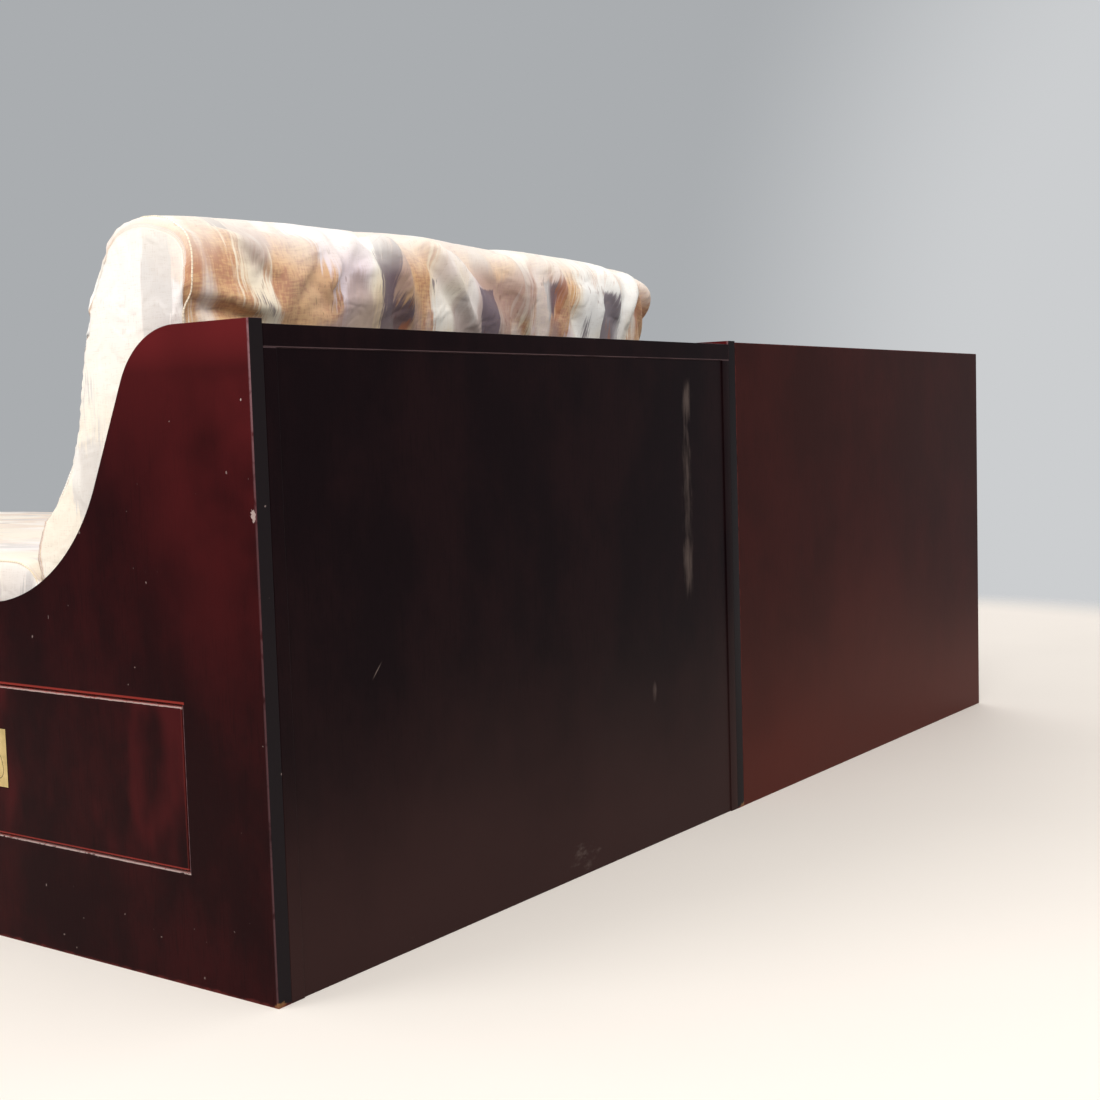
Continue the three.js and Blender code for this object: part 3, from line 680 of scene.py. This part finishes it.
class FabricSettings(PropertyGroup):
    """Colours of the printed cotton, and the form of the soft pieces."""

    white: tint("White", "Bleached ground of the cloth", 250, 247, 242)
    cream: tint("Cream", "Warm ground of the cloth", 246, 230, 204)
    straw: tint("Straw", "Pale khaki washes", 234, 206, 160)
    ochre: tint("Ochre", "Ochre patches", 222, 172, 118)
    rust: tint("Rust", "Rust in the patches and accents", 186, 116, 78)
    taupe: tint("Taupe", "Grey-brown washes", 178, 152, 148)
    slate: tint("Slate", "Slate purple strokes", 104, 88, 102)
    lilac: tint("Lilac", "Pale lilac washes", 232, 214, 226)
    fleck: tint("Fleck", "Fine dark drips", 120, 66, 50)
    shadow: tint("Thread shadow", "Between the threads", 168, 138, 110)
    cushion_height: amount("Cushion height", "Above the mattress", 0.434)
    cushion_depth: amount("Cushion depth", "At the foot of its front", 0.30)
    welt: amount("Welt radius", "Radius of the seam welts", 1.1 * MM)


class HandleSettings(PropertyGroup):
    """Finish of the brass."""

    brass: tint("Brass", "Clean brass", 226, 202, 144)
    tarnish: tint("Tarnish", "Dulled brass", 188, 164, 108)
    # Dirt and painted shade on the rims and in the gaps.
    dirt_and_shade: tint("Grime", "Dark brown in the gaps", 58, 38, 20)
    roughness: amount("Roughness", "Of the brushed brass", 0.36, min=0, max=1)
    steel: tint("Steel", "Plated steel of the bolts", 175, 176, 178)


class StageSettings(PropertyGroup):
    """Floor, backdrop, light and camera."""

    floor: tint("Floor", "Pale floor", 252, 243, 233)
    backdrop: tint("Backdrop", "Plain grey behind the bed", 170, 173, 176)
    backdrop_light: tint("Backdrop, right", "Where the backdrop is lighter", 204, 206, 208)
    focal: amount("Focal length", "Of the camera, in mm on a 36 mm frame", 52.19, min=1)
    world: amount("Fill", "Strength of the even light", 0.62, min=0)
    key: amount("Key light", "Power of the large soft light", 195, min=0)
    far: amount("Far light", "Power of the light beyond the chest", 40, min=0)
    side: amount("Side light", "Power of the light on the drawer side", 45, min=0)


# The pieces


DRAWERS = ["drawer_1", "drawer_2", "chest_drawer_1", "chest_drawer_2"]


class BED_OT_wood(Operator):
    """Stains the boards of the bed and of the chest, and finishes the inner wood"""

    bl_idname = "bed.wood"
    bl_label = "Wood"

    def execute(self, context):
        wood = context.scene.bed_wood
        edge = wood.round_edge
        side = (wood.side, wood.side_bright, wood.roughness, wood.gloss)
        near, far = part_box("near_side_panel"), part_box("far_side_panel")
        openings = [self.opening(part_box(f"{name}_front")) for name in DRAWERS[:2]]
        worn = side_marks(openings, near[0].x, near[0].y)
        dress(["near_side_panel"], stained_wood("Mahogany_near_side", *side, worn), edge)
        worn = side_marks([], far[1].x, far[0].y)
        dress(["far_side_panel"], stained_wood("Mahogany_far_side", *side, worn), edge)
        dress(["headboard_inner_panel", "foot_panel"], stained_wood("Mahogany", *side), edge)
        dark = (wood.back, wood.back_bright, wood.roughness - 0.02, wood.back_gloss, back_marks)
        stiles = ["headboard_stile_near", "headboard_stile_far"]
        dress(["headboard_cap", "headboard_back_panel", *stiles], stained_wood("Dark_mahogany", *dark), edge)
        chest = (wood.chest, wood.chest_bright, wood.roughness, wood.back_gloss)
        boards = ["back_panel", "top", "side_near", "side_far", "plinth", "floor", "shelf"]
        stained = stained_wood("Chest_mahogany", *chest, self.chest_marks)
        dress([f"chest_{name}" for name in boards], stained, edge)
        for prefix in DRAWERS:
            finish = chest if prefix.startswith("chest") else side
            dress([f"{prefix}_front"], self.front(prefix, finish), edge)
        inner = plain_wood("Inner_board", wood.inner, wood.inner_deep, "Y")
        guides = [f"drawer_{i}_guide_{end}" for i in (1, 2) for end in ("head", "foot")]
        boxes = [f"{prefix}_{part}" for prefix in DRAWERS for part in ("box", "base")]
        dress([*boxes, *guides, "ledger_near", "ledger_far"], inner, edge / 2)
        across = plain_wood("Slat", wood.slat, wood.slat_deep, "X")
        dress([*(f"slat_{i + 1:02d}" for i in range(11)), "middle_cross_board"], across, edge)
        return {"FINISHED"}

    def opening(self, box):
        """The drawer opening's rectangle, with its gap at the ends and its wider one above and below."""
        gap = Vector((0, 2 * MM, 3.4 * MM))
        low, high = box[0] - gap, box[1] + gap
        return tuple(low), (low.x, high.y, high.z)

    def front(self, prefix, finish):
        """A drawer front's stain, raw on its upper edge and chipped along its rim."""
        wood = bpy.context.scene.bed_wood
        low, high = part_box(f"{prefix}_front")

        def marks(s, place, colour, rough):
            out = beyond(s, place, tuple(low), tuple(high))
            z = s.parts(place)[2]
            top = s.rise(z, high.z - 0.6 * MM, high.z - 0.1 * MM)
            bottom = s.rise(z, low.z + 2.4 * MM, low.z + 1.4 * MM)
            red = s.rise(s.noise(s.scaled(place, (1, 1, 0.5)), 9, 3), 0.5, 0.7)
            colour = s.mix(colour, wood.red_patch_and_painted_highlight, red * 0.35)
            colour = s.mix(colour, wood.raw, top.most(bottom * 0.34))
            line = band(s, out + (s.noise(place, 130, 3) - 0.5) * 1.6 * MM, 1.1 * MM, -0.6 * MM)
            rim = s.rise(z, high.z - 3 * MM, high.z - 1.2 * MM)
            colour = s.mix(colour, wood.worn, line * 0.35)
            return chipped(s, place, colour, line * rim, wood.bare, 0.8), rough

        return stained_wood(f"Front_{prefix}", *finish, marks)

    def chest_marks(self, s, place, colour, rough):
        """The chest's edges, rubbed slightly redder, and lighter and redder towards the floor."""
        wood = bpy.context.scene.bed_wood
        low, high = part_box("chest_back_panel")
        out = beyond(s, place, tuple(low), tuple(high))
        behind = s.rise(s.parts(place)[1], low.y + 3 * MM, low.y + 1 * MM)
        rub = band(s, out, 1.4 * MM, -0.5 * MM) * s.rise(s.noise(place, 70, 3), 0.35, 0.6) * behind
        colour = s.mix(colour, wood.worn, rub * 0.45)
        z = s.parts(place)[2]
        # Lighter and redder towards the floor.
        lighter_low = s.rise(z + s.noise(place, 3, 2) * 0.3 - 0.15, 0.42, 0.0) * 0.7
        return s.mix(colour, wood.chest_low, lighter_low), rough


class BED_OT_handles(Operator):
    """Finishes the brass plates and flaps, and the steel bolts"""

    bl_idname = "bed.handles"
    bl_label = "Handles"

    def execute(self, context):
        edge, clearance = 0.35 * MM, 0.08 * MM
        for drawers, metal in ((DRAWERS[:2], brass("Brass_side", 0)), (DRAWERS[2:], brass("Brass_front", 1))):
            dress([f"{drawer}_plate" for drawer in drawers], metal, edge)
            dress([f"{drawer}_flap" for drawer in drawers], metal, edge, clearance)
        dress(["bolt_1", "bolt_2"], steel(), 0.4 * MM)
        return {"FINISHED"}


# The cushion's section, as shares of its depth and height, from the foot of its back round its front
CUSHION_OUTLINE = [
    (0.03, 0.0), (0.5, 0.0), (0.94, 0.0), (0.985, 0.03), (1.0, 0.08), (0.97, 0.15), (0.925, 0.205),
    (0.875, 0.25), (0.825, 0.3), (0.785, 0.37), (0.725, 0.52), (0.665, 0.655), (0.605, 0.775), (0.515, 0.885),
    (0.41, 0.972), (0.29, 0.995), (0.17, 0.985), (0.055, 0.955), (0.015, 0.9), (0.02, 0.8), (0.03, 0.7),
    (0.02, 0.5), (0.01, 0.3), (0.01, 0.06),
]
CUSHION_MIDDLE = (0.45, 0.45)


def smooth_outline(corners, count):
    """A closed outline through the corners, as evenly spaced points."""
    corners = np.array(corners)
    fine = []
    for i in range(len(corners)):
        p0, p1, p2, p3 = np.roll(corners, 1 - i, 0)[:4]
        bend, twist = 2 * p0 - 5 * p1 + 4 * p2 - p3, 3 * p1 - p0 - 3 * p2 + p3
        for t in np.linspace(0, 1, 24, endpoint=False):
            fine.append(0.5 * (2 * p1 + (p2 - p0) * t + bend * t**2 + twist * t**3))
    return even(np.array(fine), count)


class BED_OT_back_cushion(Operator):
    """Sews the back cushion: a loose printed cover over a thick wedge, boxed at its two ends"""

    bl_idname = "bed.back_cushion"
    bl_label = "Back cushion"

    along_steps = 210
    round_steps = 250
    end_rings = 26
    # How far the boxed ends swell, and the first cloth measure of the near one
    end_swell = 9 * MM
    end_cloth = 3.0
    # Which part of the print the cloth shows, in metres
    print_shift = 6.9

    def execute(self, context):
        fabric = context.scene.bed_fabric
        low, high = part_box("back_cushion")
        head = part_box("headboard_cap")[1]
        self.y0, self.z0 = head.y + 0.3 * MM, low.z
        self.rail = head.z
        self.depth, self.height = fabric.cushion_depth, fabric.cushion_height
        self.x0 = low.x + 1 * MM
        self.length = high.x - 15 * MM - self.x0
        obj, (across, along, around, inset) = self.sewn()
        self.fold(obj, across, along)
        self.pucker(obj, around, inset)
        cap = np.where(across < self.end_cloth - 1, 9 * MM, 3 * MM)
        inflate(obj, pressure=3.0, frames=14, cap=cap, shrink=-0.02)
        self.settle(obj)
        set_cloth(obj, across, along + self.print_shift)
        # The print is washed out over the top and the boxed ends as painted glare.
        give(obj, printed_cotton("Printed_cotton", strength=1.0, painted_glare_above=0.815, painted_glare_past=1.5))
        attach(obj, "bed_and_chest")
        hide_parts("back_cushion")
        self.welts(obj, fabric.welt)
        return {"FINISHED"}

    def section(self, count):
        """The cushion's outline and its middle, in metres from the foot of its back."""
        size = np.array([self.depth, self.height])
        return smooth_outline(CUSHION_OUTLINE, count) * size, np.array(CUSHION_MIDDLE) * size

    def sewn(self):
        """The cover's mesh, and each point's cloth measures, place along an end seam and depth in from it."""
        n = self.round_steps
        self.outline, middle = self.section(n)
        sides = np.linalg.norm(np.roll(self.outline, -1, 0) - self.outline, axis=1)
        self.run = np.concatenate([[0], np.cumsum(sides)[:-1]])
        table, faces = [], []

        def add(ring, *measures):
            """Adds a ring of points with its measures, and returns the number of its first point."""
            first = sum(len(part) for part in table)
            table.append(np.column_stack([ring, *(np.full(len(ring), m) for m in measures)]))
            return first

        for i in range(self.along_steps + 1):
            share = i / self.along_steps
            x = share * self.length
            first = add(self.ring(self.outline, middle, x), x, self.run, self.run, min(x, self.length - x))
            if i:
                faces += strip(first - n, first, n)
        hub = middle + [self.y0, self.z0]
        reach = np.linalg.norm(self.outline - middle, axis=1)
        for end, edge in ((0, 0), (1, self.along_steps)):
            cloth, side, last = self.end_cloth + end, [], edge * n
            for k in range(1, self.end_rings + 1):
                scale = 1 - k / (self.end_rings + 1)
                ring = table[edge][:, :3].copy()
                ring[:, 1:] = hub + (ring[:, 1:] - hub) * scale
                ring[:, 0] += self.end_swell * (1 - scale**2.5) * (1 if end else -1)
                first = add(ring, ring[:, 1] + cloth, ring[:, 2], self.run, reach * (1 - scale))
                side += strip(last, first, n)
                last = first
            tip = add(np.array([[ring[:, 0].mean(), *hub]]), hub[0] + cloth, hub[1], 0, 1)
            side += [(last + j, last + (j + 1) % n, tip) for j in range(n)]
            faces += side if end else [face[:1] + face[:0:-1] for face in side]
        table = np.vstack(table)
        return mesh_object("back_cushion_cover", table[:, :3], faces), table[:, 3:].T

    def ring(self, outline, middle, x):
        """The cushion's section at x from its near end."""
        share, far = x / self.length, self.length - x
        high = outline[:, 1] / self.height
        reach = outline - middle
        forward = reach[:, 0] / (0.3 * self.depth)
        above = outline[:, 1] + self.z0 - self.rail
        seen = ease(above, -0.06, 0.02)
        roll = self.rounding(x, 12 * MM) * 0.5 + self.rounding(far, 26 * MM) * 0.5
        ring = outline - reach / np.linalg.norm(reach, axis=1)[:, None] * roll
        ring[:, 0] += self.rounding(far, 85 * MM) * np.clip(-forward, 0, 1) * seen
        ring[:, 0] -= self.rounding(far, 45 * MM) * np.clip(forward, 0, 1)
        top = np.clip(high * 2.2 - 1.2, 0, 1) ** 1.5
        sag = 16 * MM * share**3 + self.rounding(far, 60 * MM) * 0.75
        lift = 3 * MM * math.sin(math.pi * min(1, share * 1.1))
        full = 1 - (2 * share - 1) ** 6
        slack = 14 * MM * full * seen * (forward < 0) * np.clip(above / 0.08, 0, 1)
        swell = 12 * MM * full * np.sin(np.pi * np.clip(high, 0, 1)) * (forward > 0)
        y = self.y0 + ring[:, 0] - slack + swell
        z = self.z0 + ring[:, 1] + top * (lift - sag)
        return np.stack([np.full(len(ring), self.x0 + x), y, z], 1)

    def rounding(self, gap, radius):
        """How far a corner of that radius draws a face in, at a gap from the end."""
        if gap >= radius:
            return 0.0
        return radius - math.sqrt(radius**2 - (radius - gap) ** 2)

    # Folds of the loose cover: start and end as (metres from the near end, height above the headboard
    # along the cloth), then width and height in millimetres.
    folds = [
        ((0.285, 0.175), (0.36, 0.02), 11, 14),
        ((0.245, 0.17), (0.235, 0.06), 10, -9),
        ((0.30, 0.16), (0.20, 0.05), 13, 9),
        ((0.36, 0.16), (0.50, 0.01), 10, 14),
        ((0.42, 0.16), (0.56, 0.05), 18, -10),
        ((0.56, 0.13), (0.61, 0.01), 12, 12),
        ((0.60, 0.15), (0.72, 0.06), 15, 9),
        ((0.69, 0.10), (0.76, 0.00), 12, -9),
        ((0.80, 0.14), (0.86, 0.02), 12, 9),
        ((0.90, 0.16), (0.87, 0.03), 12, 9),
        ((0.925, 0.125), (0.975, 0.07), 9, 13),
        ((0.92, 0.10), (0.975, 0.03), 8, -11),
        ((0.10, 0.17), (0.16, 0.12), 12, 7),
        ((0.02, 0.05), (0.14, 0.03), 14, 6),
        ((0.03, 0.15), (0.12, 0.09), 10, 6),
    ]

    def fold(self, obj, across, along):
        """Raises the loose cover's folds, and ripples it gently all over."""
        points = points_of(obj)
        from_rail = np.abs(self.outline[:, 1] + self.z0 - self.rail)
        behind = self.outline[:, 0] < self.depth / 3
        above = self.run[np.argmin(np.where(behind, from_rail, 9))] - along
        push = np.zeros(len(points))
        body = (across < self.end_cloth - 1) * 1.0
        for (u0, v0), (u1, v1), width, height in self.folds:
            line = np.array([u1 - u0, v1 - v0])
            span = np.linalg.norm(line)
            du, dv = across - u0, above - v0
            t = np.clip((du * line[0] + dv * line[1]) / span**2, 0, 1)
            off = (du * line[1] - dv * line[0]) / span
            end = np.hypot(du - t * line[0], dv - t * line[1])
            wide = width * MM
            crest = np.exp(-((end / wide) ** 2)) * np.sin(np.pi * np.clip(t * 0.86 + 0.1, 0, 1)) ** 0.6
            dip = np.exp(-(((off - 1.9 * wide) / (1.3 * wide)) ** 2)) * np.exp(-((end / (3 * wide)) ** 4))
            push += 1.25 * height * MM * (crest - 0.4 * dip) * body * ease(above, 0.15, 0.1)
        loose = ease(points[:, 2], self.z0 + 0.02, self.z0 + 0.1)
        loose *= 1 - 0.8 * ease(above, 0.1, 0.15) * body
        push += ripple(points, 0.085, 4.0) * 4.5 * MM * loose
        push += ripple(points * [1, 1, 0.6], 0.036, 9.0) * 2.0 * MM * loose
        push_out(obj, push)

    def pucker(self, obj, around, inset):
        """Draws the cloth in along the two end seams, with small gathers beside them."""
        uneven = ripple(points_of(obj), 0.06, 2.0)
        gathers = np.sin(around / (2.7 * MM) + uneven * 5) * (0.6 + 0.4 * uneven)
        gathers *= 0.9 * MM * np.exp(-((inset / (22 * MM)) ** 2))
        groove = 2.6 * MM * np.exp(-((inset / (4.2 * MM)) ** 2))
        push_out(obj, gathers - groove)

    def settle(self, obj):
        """Keeps the cover off the headboard, the mattress and the two side panels."""
        points = points_of(obj)
        points[:, 2] = np.maximum(points[:, 2], self.z0)
        below = points[:, 2] < self.rail + 1 * MM
        points[:, 1] = np.where(below, np.maximum(points[:, 1], self.y0), points[:, 1])
        between_sides(points, 1.5 * MM)
        set_points(obj, points)

    def welts(self, cover, radius):
        """Two thin welts where the ends are sewn in."""
        material = welt_cotton()
        outline, middle = self.section(260)
        for name, x in (("near", 4 * MM), ("far", self.length - 5 * MM)):
            path = laid_on(cover, self.ring(outline, middle, x), radius * 0.35, 2)
            path[:, 2] = np.maximum(path[:, 2], self.z0 + radius)
            below = path[:, 2] < self.rail + 4 * MM
            path[:, 1] = np.where(below, np.maximum(path[:, 1], self.y0 + radius), path[:, 1])
            obj = welt(f"back_cushion_welt_{name}", even(path, 420), radius)
            give(obj, material)
            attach(obj, "bed_and_chest")


class BED_OT_mattress(Operator):
    """Sews the mattress: a boxed pad with welted edges, pressed down under the back cushion"""

    bl_idname = "bed.mattress"
    bl_label = "Mattress"

    corner = 45 * MM
    # How much lower the top lies at its far side
    fall = 13 * MM
    # Which part of the print each face shows, in metres of cloth
    top_print = (6.2, 1.3)
    long_print, short_print, side_print = 12.4, 15.1, 3.3

    def execute(self, context):
        self.low, self.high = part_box("mattress")
        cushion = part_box("back_cushion")
        self.pressed = cushion[0].z - 0.3 * MM
        self.foot = cushion[1].y
        self.seam = self.high.z - 1 * MM
        low, high = np.array(self.low), np.array(self.high)
        self.middle, self.half = ((low + high) / 2)[:2], ((high - low) / 2)[:2]
        nx, ny, nz = 70, 130, 9
        points, faces, index = [], [], {}

        def face(corners, flip):
            """Adds a face, and those of its corners that are new."""
            for corner in corners:
                if corner not in index:
                    index[corner] = len(points)
                    points.append(self.shape(corner[0] / nx, corner[1] / ny, corner[2] / nz))
            found = [index[corner] for corner in corners]
            faces.append(found[::-1] if flip else found)

        for k, flip in ((0, True), (nz, False)):
            for i in range(nx):
                for j in range(ny):
                    face([(i, j, k), (i + 1, j, k), (i + 1, j + 1, k), (i, j + 1, k)], flip)
        for k in range(nz):
            for j, flip in ((0, False), (ny, True)):
                for i in range(nx):
                    face([(i, j, k), (i + 1, j, k), (i + 1, j, k + 1), (i, j, k + 1)], flip)
            for i, flip in ((0, True), (nx, False)):
                for j in range(ny):
                    face([(i, j, k), (i, j + 1, k), (i, j + 1, k + 1), (i, j, k + 1)], flip)
        obj = mesh_object("mattress_cover", points, faces)
        rest = points_of(obj)
        inflate(obj, pressure=0.8, frames=10, cap=3 * MM, shrink=-0.01)
        soft = ease(rest[:, 2], self.low.z + 0.03, self.low.z + 0.08)
        uneven = ripple(rest, 0.24, 1.0) * 2.6 + ripple(rest, 0.075, 6.0) - 1.5
        push_out(obj, soft * uneven * MM)
        self.settle(obj)
        set_cloth(obj, *self.on_cloth(points_of(obj)))
        subdivide(obj)
        # The print is washed out over the top as painted glare.
        give(obj, printed_cotton("Mattress_cotton", strength=0.42, painted_glare_above=0.455, painted_glare_past=99.0))
        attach(obj, "bed_and_chest")
        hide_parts("mattress")
        self.welts(obj, context.scene.bed_fabric.welt)
        return {"FINISHED"}

    def on_cloth(self, points):
        """Each point's cloth measures. Top, long and short sides have their own parts of the print."""
        x, y, z = points.T
        beside = np.abs(points[:, :2] - self.middle) - self.half
        edge = np.where(y < self.foot, self.pressed, self.seam) - 2 * MM
        boxed = (beside.max(1) > -9 * MM) & (z < edge)
        sides = np.where(beside[:, 0] > beside[:, 1], y + self.long_print, x + self.short_print)
        across = np.where(boxed, sides, x + self.top_print[0])
        return across, np.where(boxed, z + self.side_print, y + self.top_print[1])

    def top(self, u, v, y):
        """Height of the top before the seams draw it in."""
        crown = (1 - abs(2 * u - 1) ** 8) * (1 - abs(2 * v - 1) ** 10) * MM
        open_top = self.seam - crown - self.fall * u - 1 * MM
        share = float(ease(y - self.foot, -12 * MM, 43 * MM))
        return self.pressed * (1 - share) + open_top * share

    def shape(self, u, v, t):
        """The point at shares u across, v along and t up."""
        a, b = 2 * u - 1, 2 * v - 1
        a = math.copysign(abs(a) ** 0.8, a)
        x, y = self.middle + self.half * (a, b)
        z = self.low.z + (self.top((a + 1) / 2, v, y) - self.low.z) * t
        waist = 3.5 * MM * (1 - 4 * t * (1 - t))
        inward = waist + max(0.0, 1 - (1 - t) * 9) * 2 * MM
        x -= math.copysign(abs(a) ** 60, a) * inward
        y -= math.copysign(abs(b) ** 60, b) * inward
        core = self.half - self.corner
        away = (x, y) - self.middle
        over = abs(away) - core
        if over.min() > 0:
            x, y = self.middle + np.copysign(core + over * over.max() / math.hypot(*over), away)
        return x, y, z

    def settle(self, obj):
        """Keeps the mattress on its slats, between the boards and under the cushion."""
        points = points_of(obj)
        between_sides(points, 1 * MM)
        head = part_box("headboard_cap")[1].y + 1 * MM
        points[:, 1] = np.clip(points[:, 1], head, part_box("foot_panel")[0].y - 1 * MM)
        under = points[:, 1] < self.foot + 4 * MM
        ceiling = np.where(under, self.pressed, self.high.z + 4 * MM)
        points[:, 2] = np.clip(points[:, 2], self.low.z, ceiling)
        set_points(obj, points)

    def welts(self, cover, radius):
        """A thin welt round the top's edge."""
        angle = np.linspace(0, 2 * math.pi, 1600, endpoint=False)
        way = np.stack([np.cos(angle), np.sin(angle)], 1)
        way *= np.min(self.half / np.maximum(np.abs(way), 1e-6), axis=1)[:, None]
        height = self.seam + 1 * MM - self.fall / 2 * (1 + way[:, 0] / self.half[0])
        path = even(np.column_stack([self.middle + way, height]), 1600)
        path[:, 2] = np.where(path[:, 1] < self.foot, self.pressed - 2 * MM, path[:, 2])
        path = laid_on(cover, path, radius * 0.3, 6)
        under = path[:, 1] < self.foot + 5 * MM
        path[:, 2] = np.where(under, np.minimum(path[:, 2], self.pressed - radius), path[:, 2])
        obj = welt("mattress_welt", path, radius)
        give(obj, bpy.data.materials["Welt_cotton"])
        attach(obj, "bed_and_chest")


class BED_OT_stage(Operator):
    """Sets up the pale floor, plain backdrop, soft light and the camera"""

    bl_idname = "bed.stage"
    bl_label = "Stage"

    def execute(self, context):
        stage = context.scene.bed_stage
        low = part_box("near_side_panel")[0]
        self.corner = Vector((low.x, low.y, 0))
        self.camera(stage)
        self.floor(stage)
        self.world(stage)
        self.lamp("Key", (-3.0, -3.6, 4.5), (-0.1, -0.5, 0.4), (4.0, 3.2), stage.key)
        self.lamp("Far", (3.6, 1.2, 3.6), (1.6, -0.4, 0.0), (3.0, 3.0), stage.far)
        self.lamp("Side", (-3.9, 0.9, 2.5), (-1.0, -0.5, 0.4), (2.2, 1.8), stage.side)
        context.scene.view_settings.view_transform = "Standard"
        return {"FINISHED"}

    def camera(self, stage):
        """The camera, placed from the near back corner of the bed."""
        yaw, pitch, roll = (math.radians(a) for a in (35.748, -4.551, 1.724))
        forward = Vector((math.cos(yaw) * math.cos(pitch), math.sin(yaw) * math.cos(pitch), math.sin(pitch)))
        right = Vector((math.sin(yaw), -math.cos(yaw), 0))
        down = forward.cross(right)
        turned_right = math.cos(roll) * right + math.sin(roll) * down
        turned_down = -math.sin(roll) * right + math.cos(roll) * down
        data = bpy.data.cameras.new("Camera")
        data.lens = stage.focal
        data.sensor_width = 36
        obj = linked("Camera", data)
        turn = Matrix((turned_right, -turned_down, -forward)).transposed().to_4x4()
        obj.matrix_world = Matrix.Translation(self.corner + Vector((-1.1955, -1.2434, 0.6292))) @ turn
        bpy.context.scene.camera = obj

    def floor(self, stage):
        """A pale round floor that clears towards its edge."""
        radius, count = 9.0, 96
        turns = np.arange(count) * 2 * math.pi / count
        ring = [(radius * math.cos(turn), radius * math.sin(turn), 0) for turn in turns]
        obj = mesh_object("floor", ring, [tuple(range(count))], smooth=False)
        s = new_shader("Floor")
        place = s.place()
        x, y, _ = s.parts(place)
        away = ((x - 0.15) ** 2 + (y + 0.1) ** 2) ** 0.5
        main = s.principled(
            Base_Color=s.mix(stage.floor, scaled_colour(stage.floor, 0.93), s.noise(place, 1.3, 3)),
            Roughness=0.75 + (s.noise(place, 60, 2) - 0.5) * 0.2,
            Specular_IOR_Level=0.2,
        )
        clear = s.node("ShaderNodeBsdfTransparent")
        mixed = s.node("ShaderNodeMixShader", inputs={0: s.rise(away, 2.45, 2.95), 1: main, 2: clear})
        s.node("ShaderNodeOutputMaterial", inputs={"Surface": mixed})
        give(obj, s.owner)

    def world(self, stage):
        """Even light on the object, and the plain backdrop behind it."""
        world = bpy.context.scene.world = bpy.data.worlds.new("World")
        s = Shader(world)
        side = s.parts(s.node("ShaderNodeTexCoord", output="Generated"))[0]
        backdrop = s.mix(stage.backdrop, stage.backdrop_light, s.rise(side, 0.85, 0.94))
        seen = s.node("ShaderNodeBackground", inputs={"Color": backdrop, "Strength": 1.0})
        white = (1.0, 1.0, 1.0, 1.0)
        light = s.node("ShaderNodeBackground", inputs={"Color": white, "Strength": stage.world})
        path = s.node("ShaderNodeLightPath").socket.node
        rays = [Value(s, path.outputs[f"Is {kind} Ray"]) for kind in ("Camera", "Glossy", "Transmission")]
        behind = rays[0].most(rays[1]).most(rays[2])
        mixed = s.node("ShaderNodeMixShader", inputs={0: behind, 1: light, 2: seen})
        s.node("ShaderNodeOutputWorld", inputs={"Surface": mixed})

    def lamp(self, name, place, target, size, power):
        data = bpy.data.lights.new(name, "AREA")
        data.shape = "RECTANGLE"
        data.size, data.size_y = size
        data.energy = power
        obj = linked(name, data)
        obj.location = place
        obj.rotation_euler = (Vector(target) - Vector(place)).to_track_quat("-Z", "Y").to_euler()


class BED_PT_panel(Panel):
    """Lists the bed's settings and pieces in the sidebar"""

    bl_label = "Single bed"
    bl_idname = "BED_PT_panel"
    bl_space_type = "VIEW_3D"
    bl_region_type = "UI"
    bl_category = "Bed"

    def draw(self, context):
        for name, _ in SETTINGS:
            box = self.layout.box()
            group = getattr(context.scene, name)
            for key in group.__annotations__:
                box.prop(group, key)
        for operator in OPERATORS:
            self.layout.operator(operator.bl_idname)


SETTINGS = [
    ("bed_wood", WoodSettings),
    ("bed_fabric", FabricSettings),
    ("bed_handles", HandleSettings),
    ("bed_stage", StageSettings),
]
OPERATORS = [BED_OT_stage, BED_OT_wood, BED_OT_handles, BED_OT_back_cushion, BED_OT_mattress]


def register():
    for _, group in SETTINGS:
        bpy.utils.register_class(group)
    for operator in OPERATORS:
        bpy.utils.register_class(operator)
    bpy.utils.register_class(BED_PT_panel)
    for name, group in SETTINGS:
        setattr(bpy.types.Scene, name, PointerProperty(type=group))


def unregister():
    for name, _ in SETTINGS:
        delattr(bpy.types.Scene, name)
    for made in [BED_PT_panel, *OPERATORS, *(group for _, group in SETTINGS)]:
        bpy.utils.unregister_class(made)


def main():
    register()
    bpy.ops.bed.stage()
    bpy.ops.bed.wood()
    bpy.ops.bed.handles()
    bpy.ops.bed.back_cushion()
    bpy.ops.bed.mattress()
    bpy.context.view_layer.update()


if __name__ == "__main__":
    main()
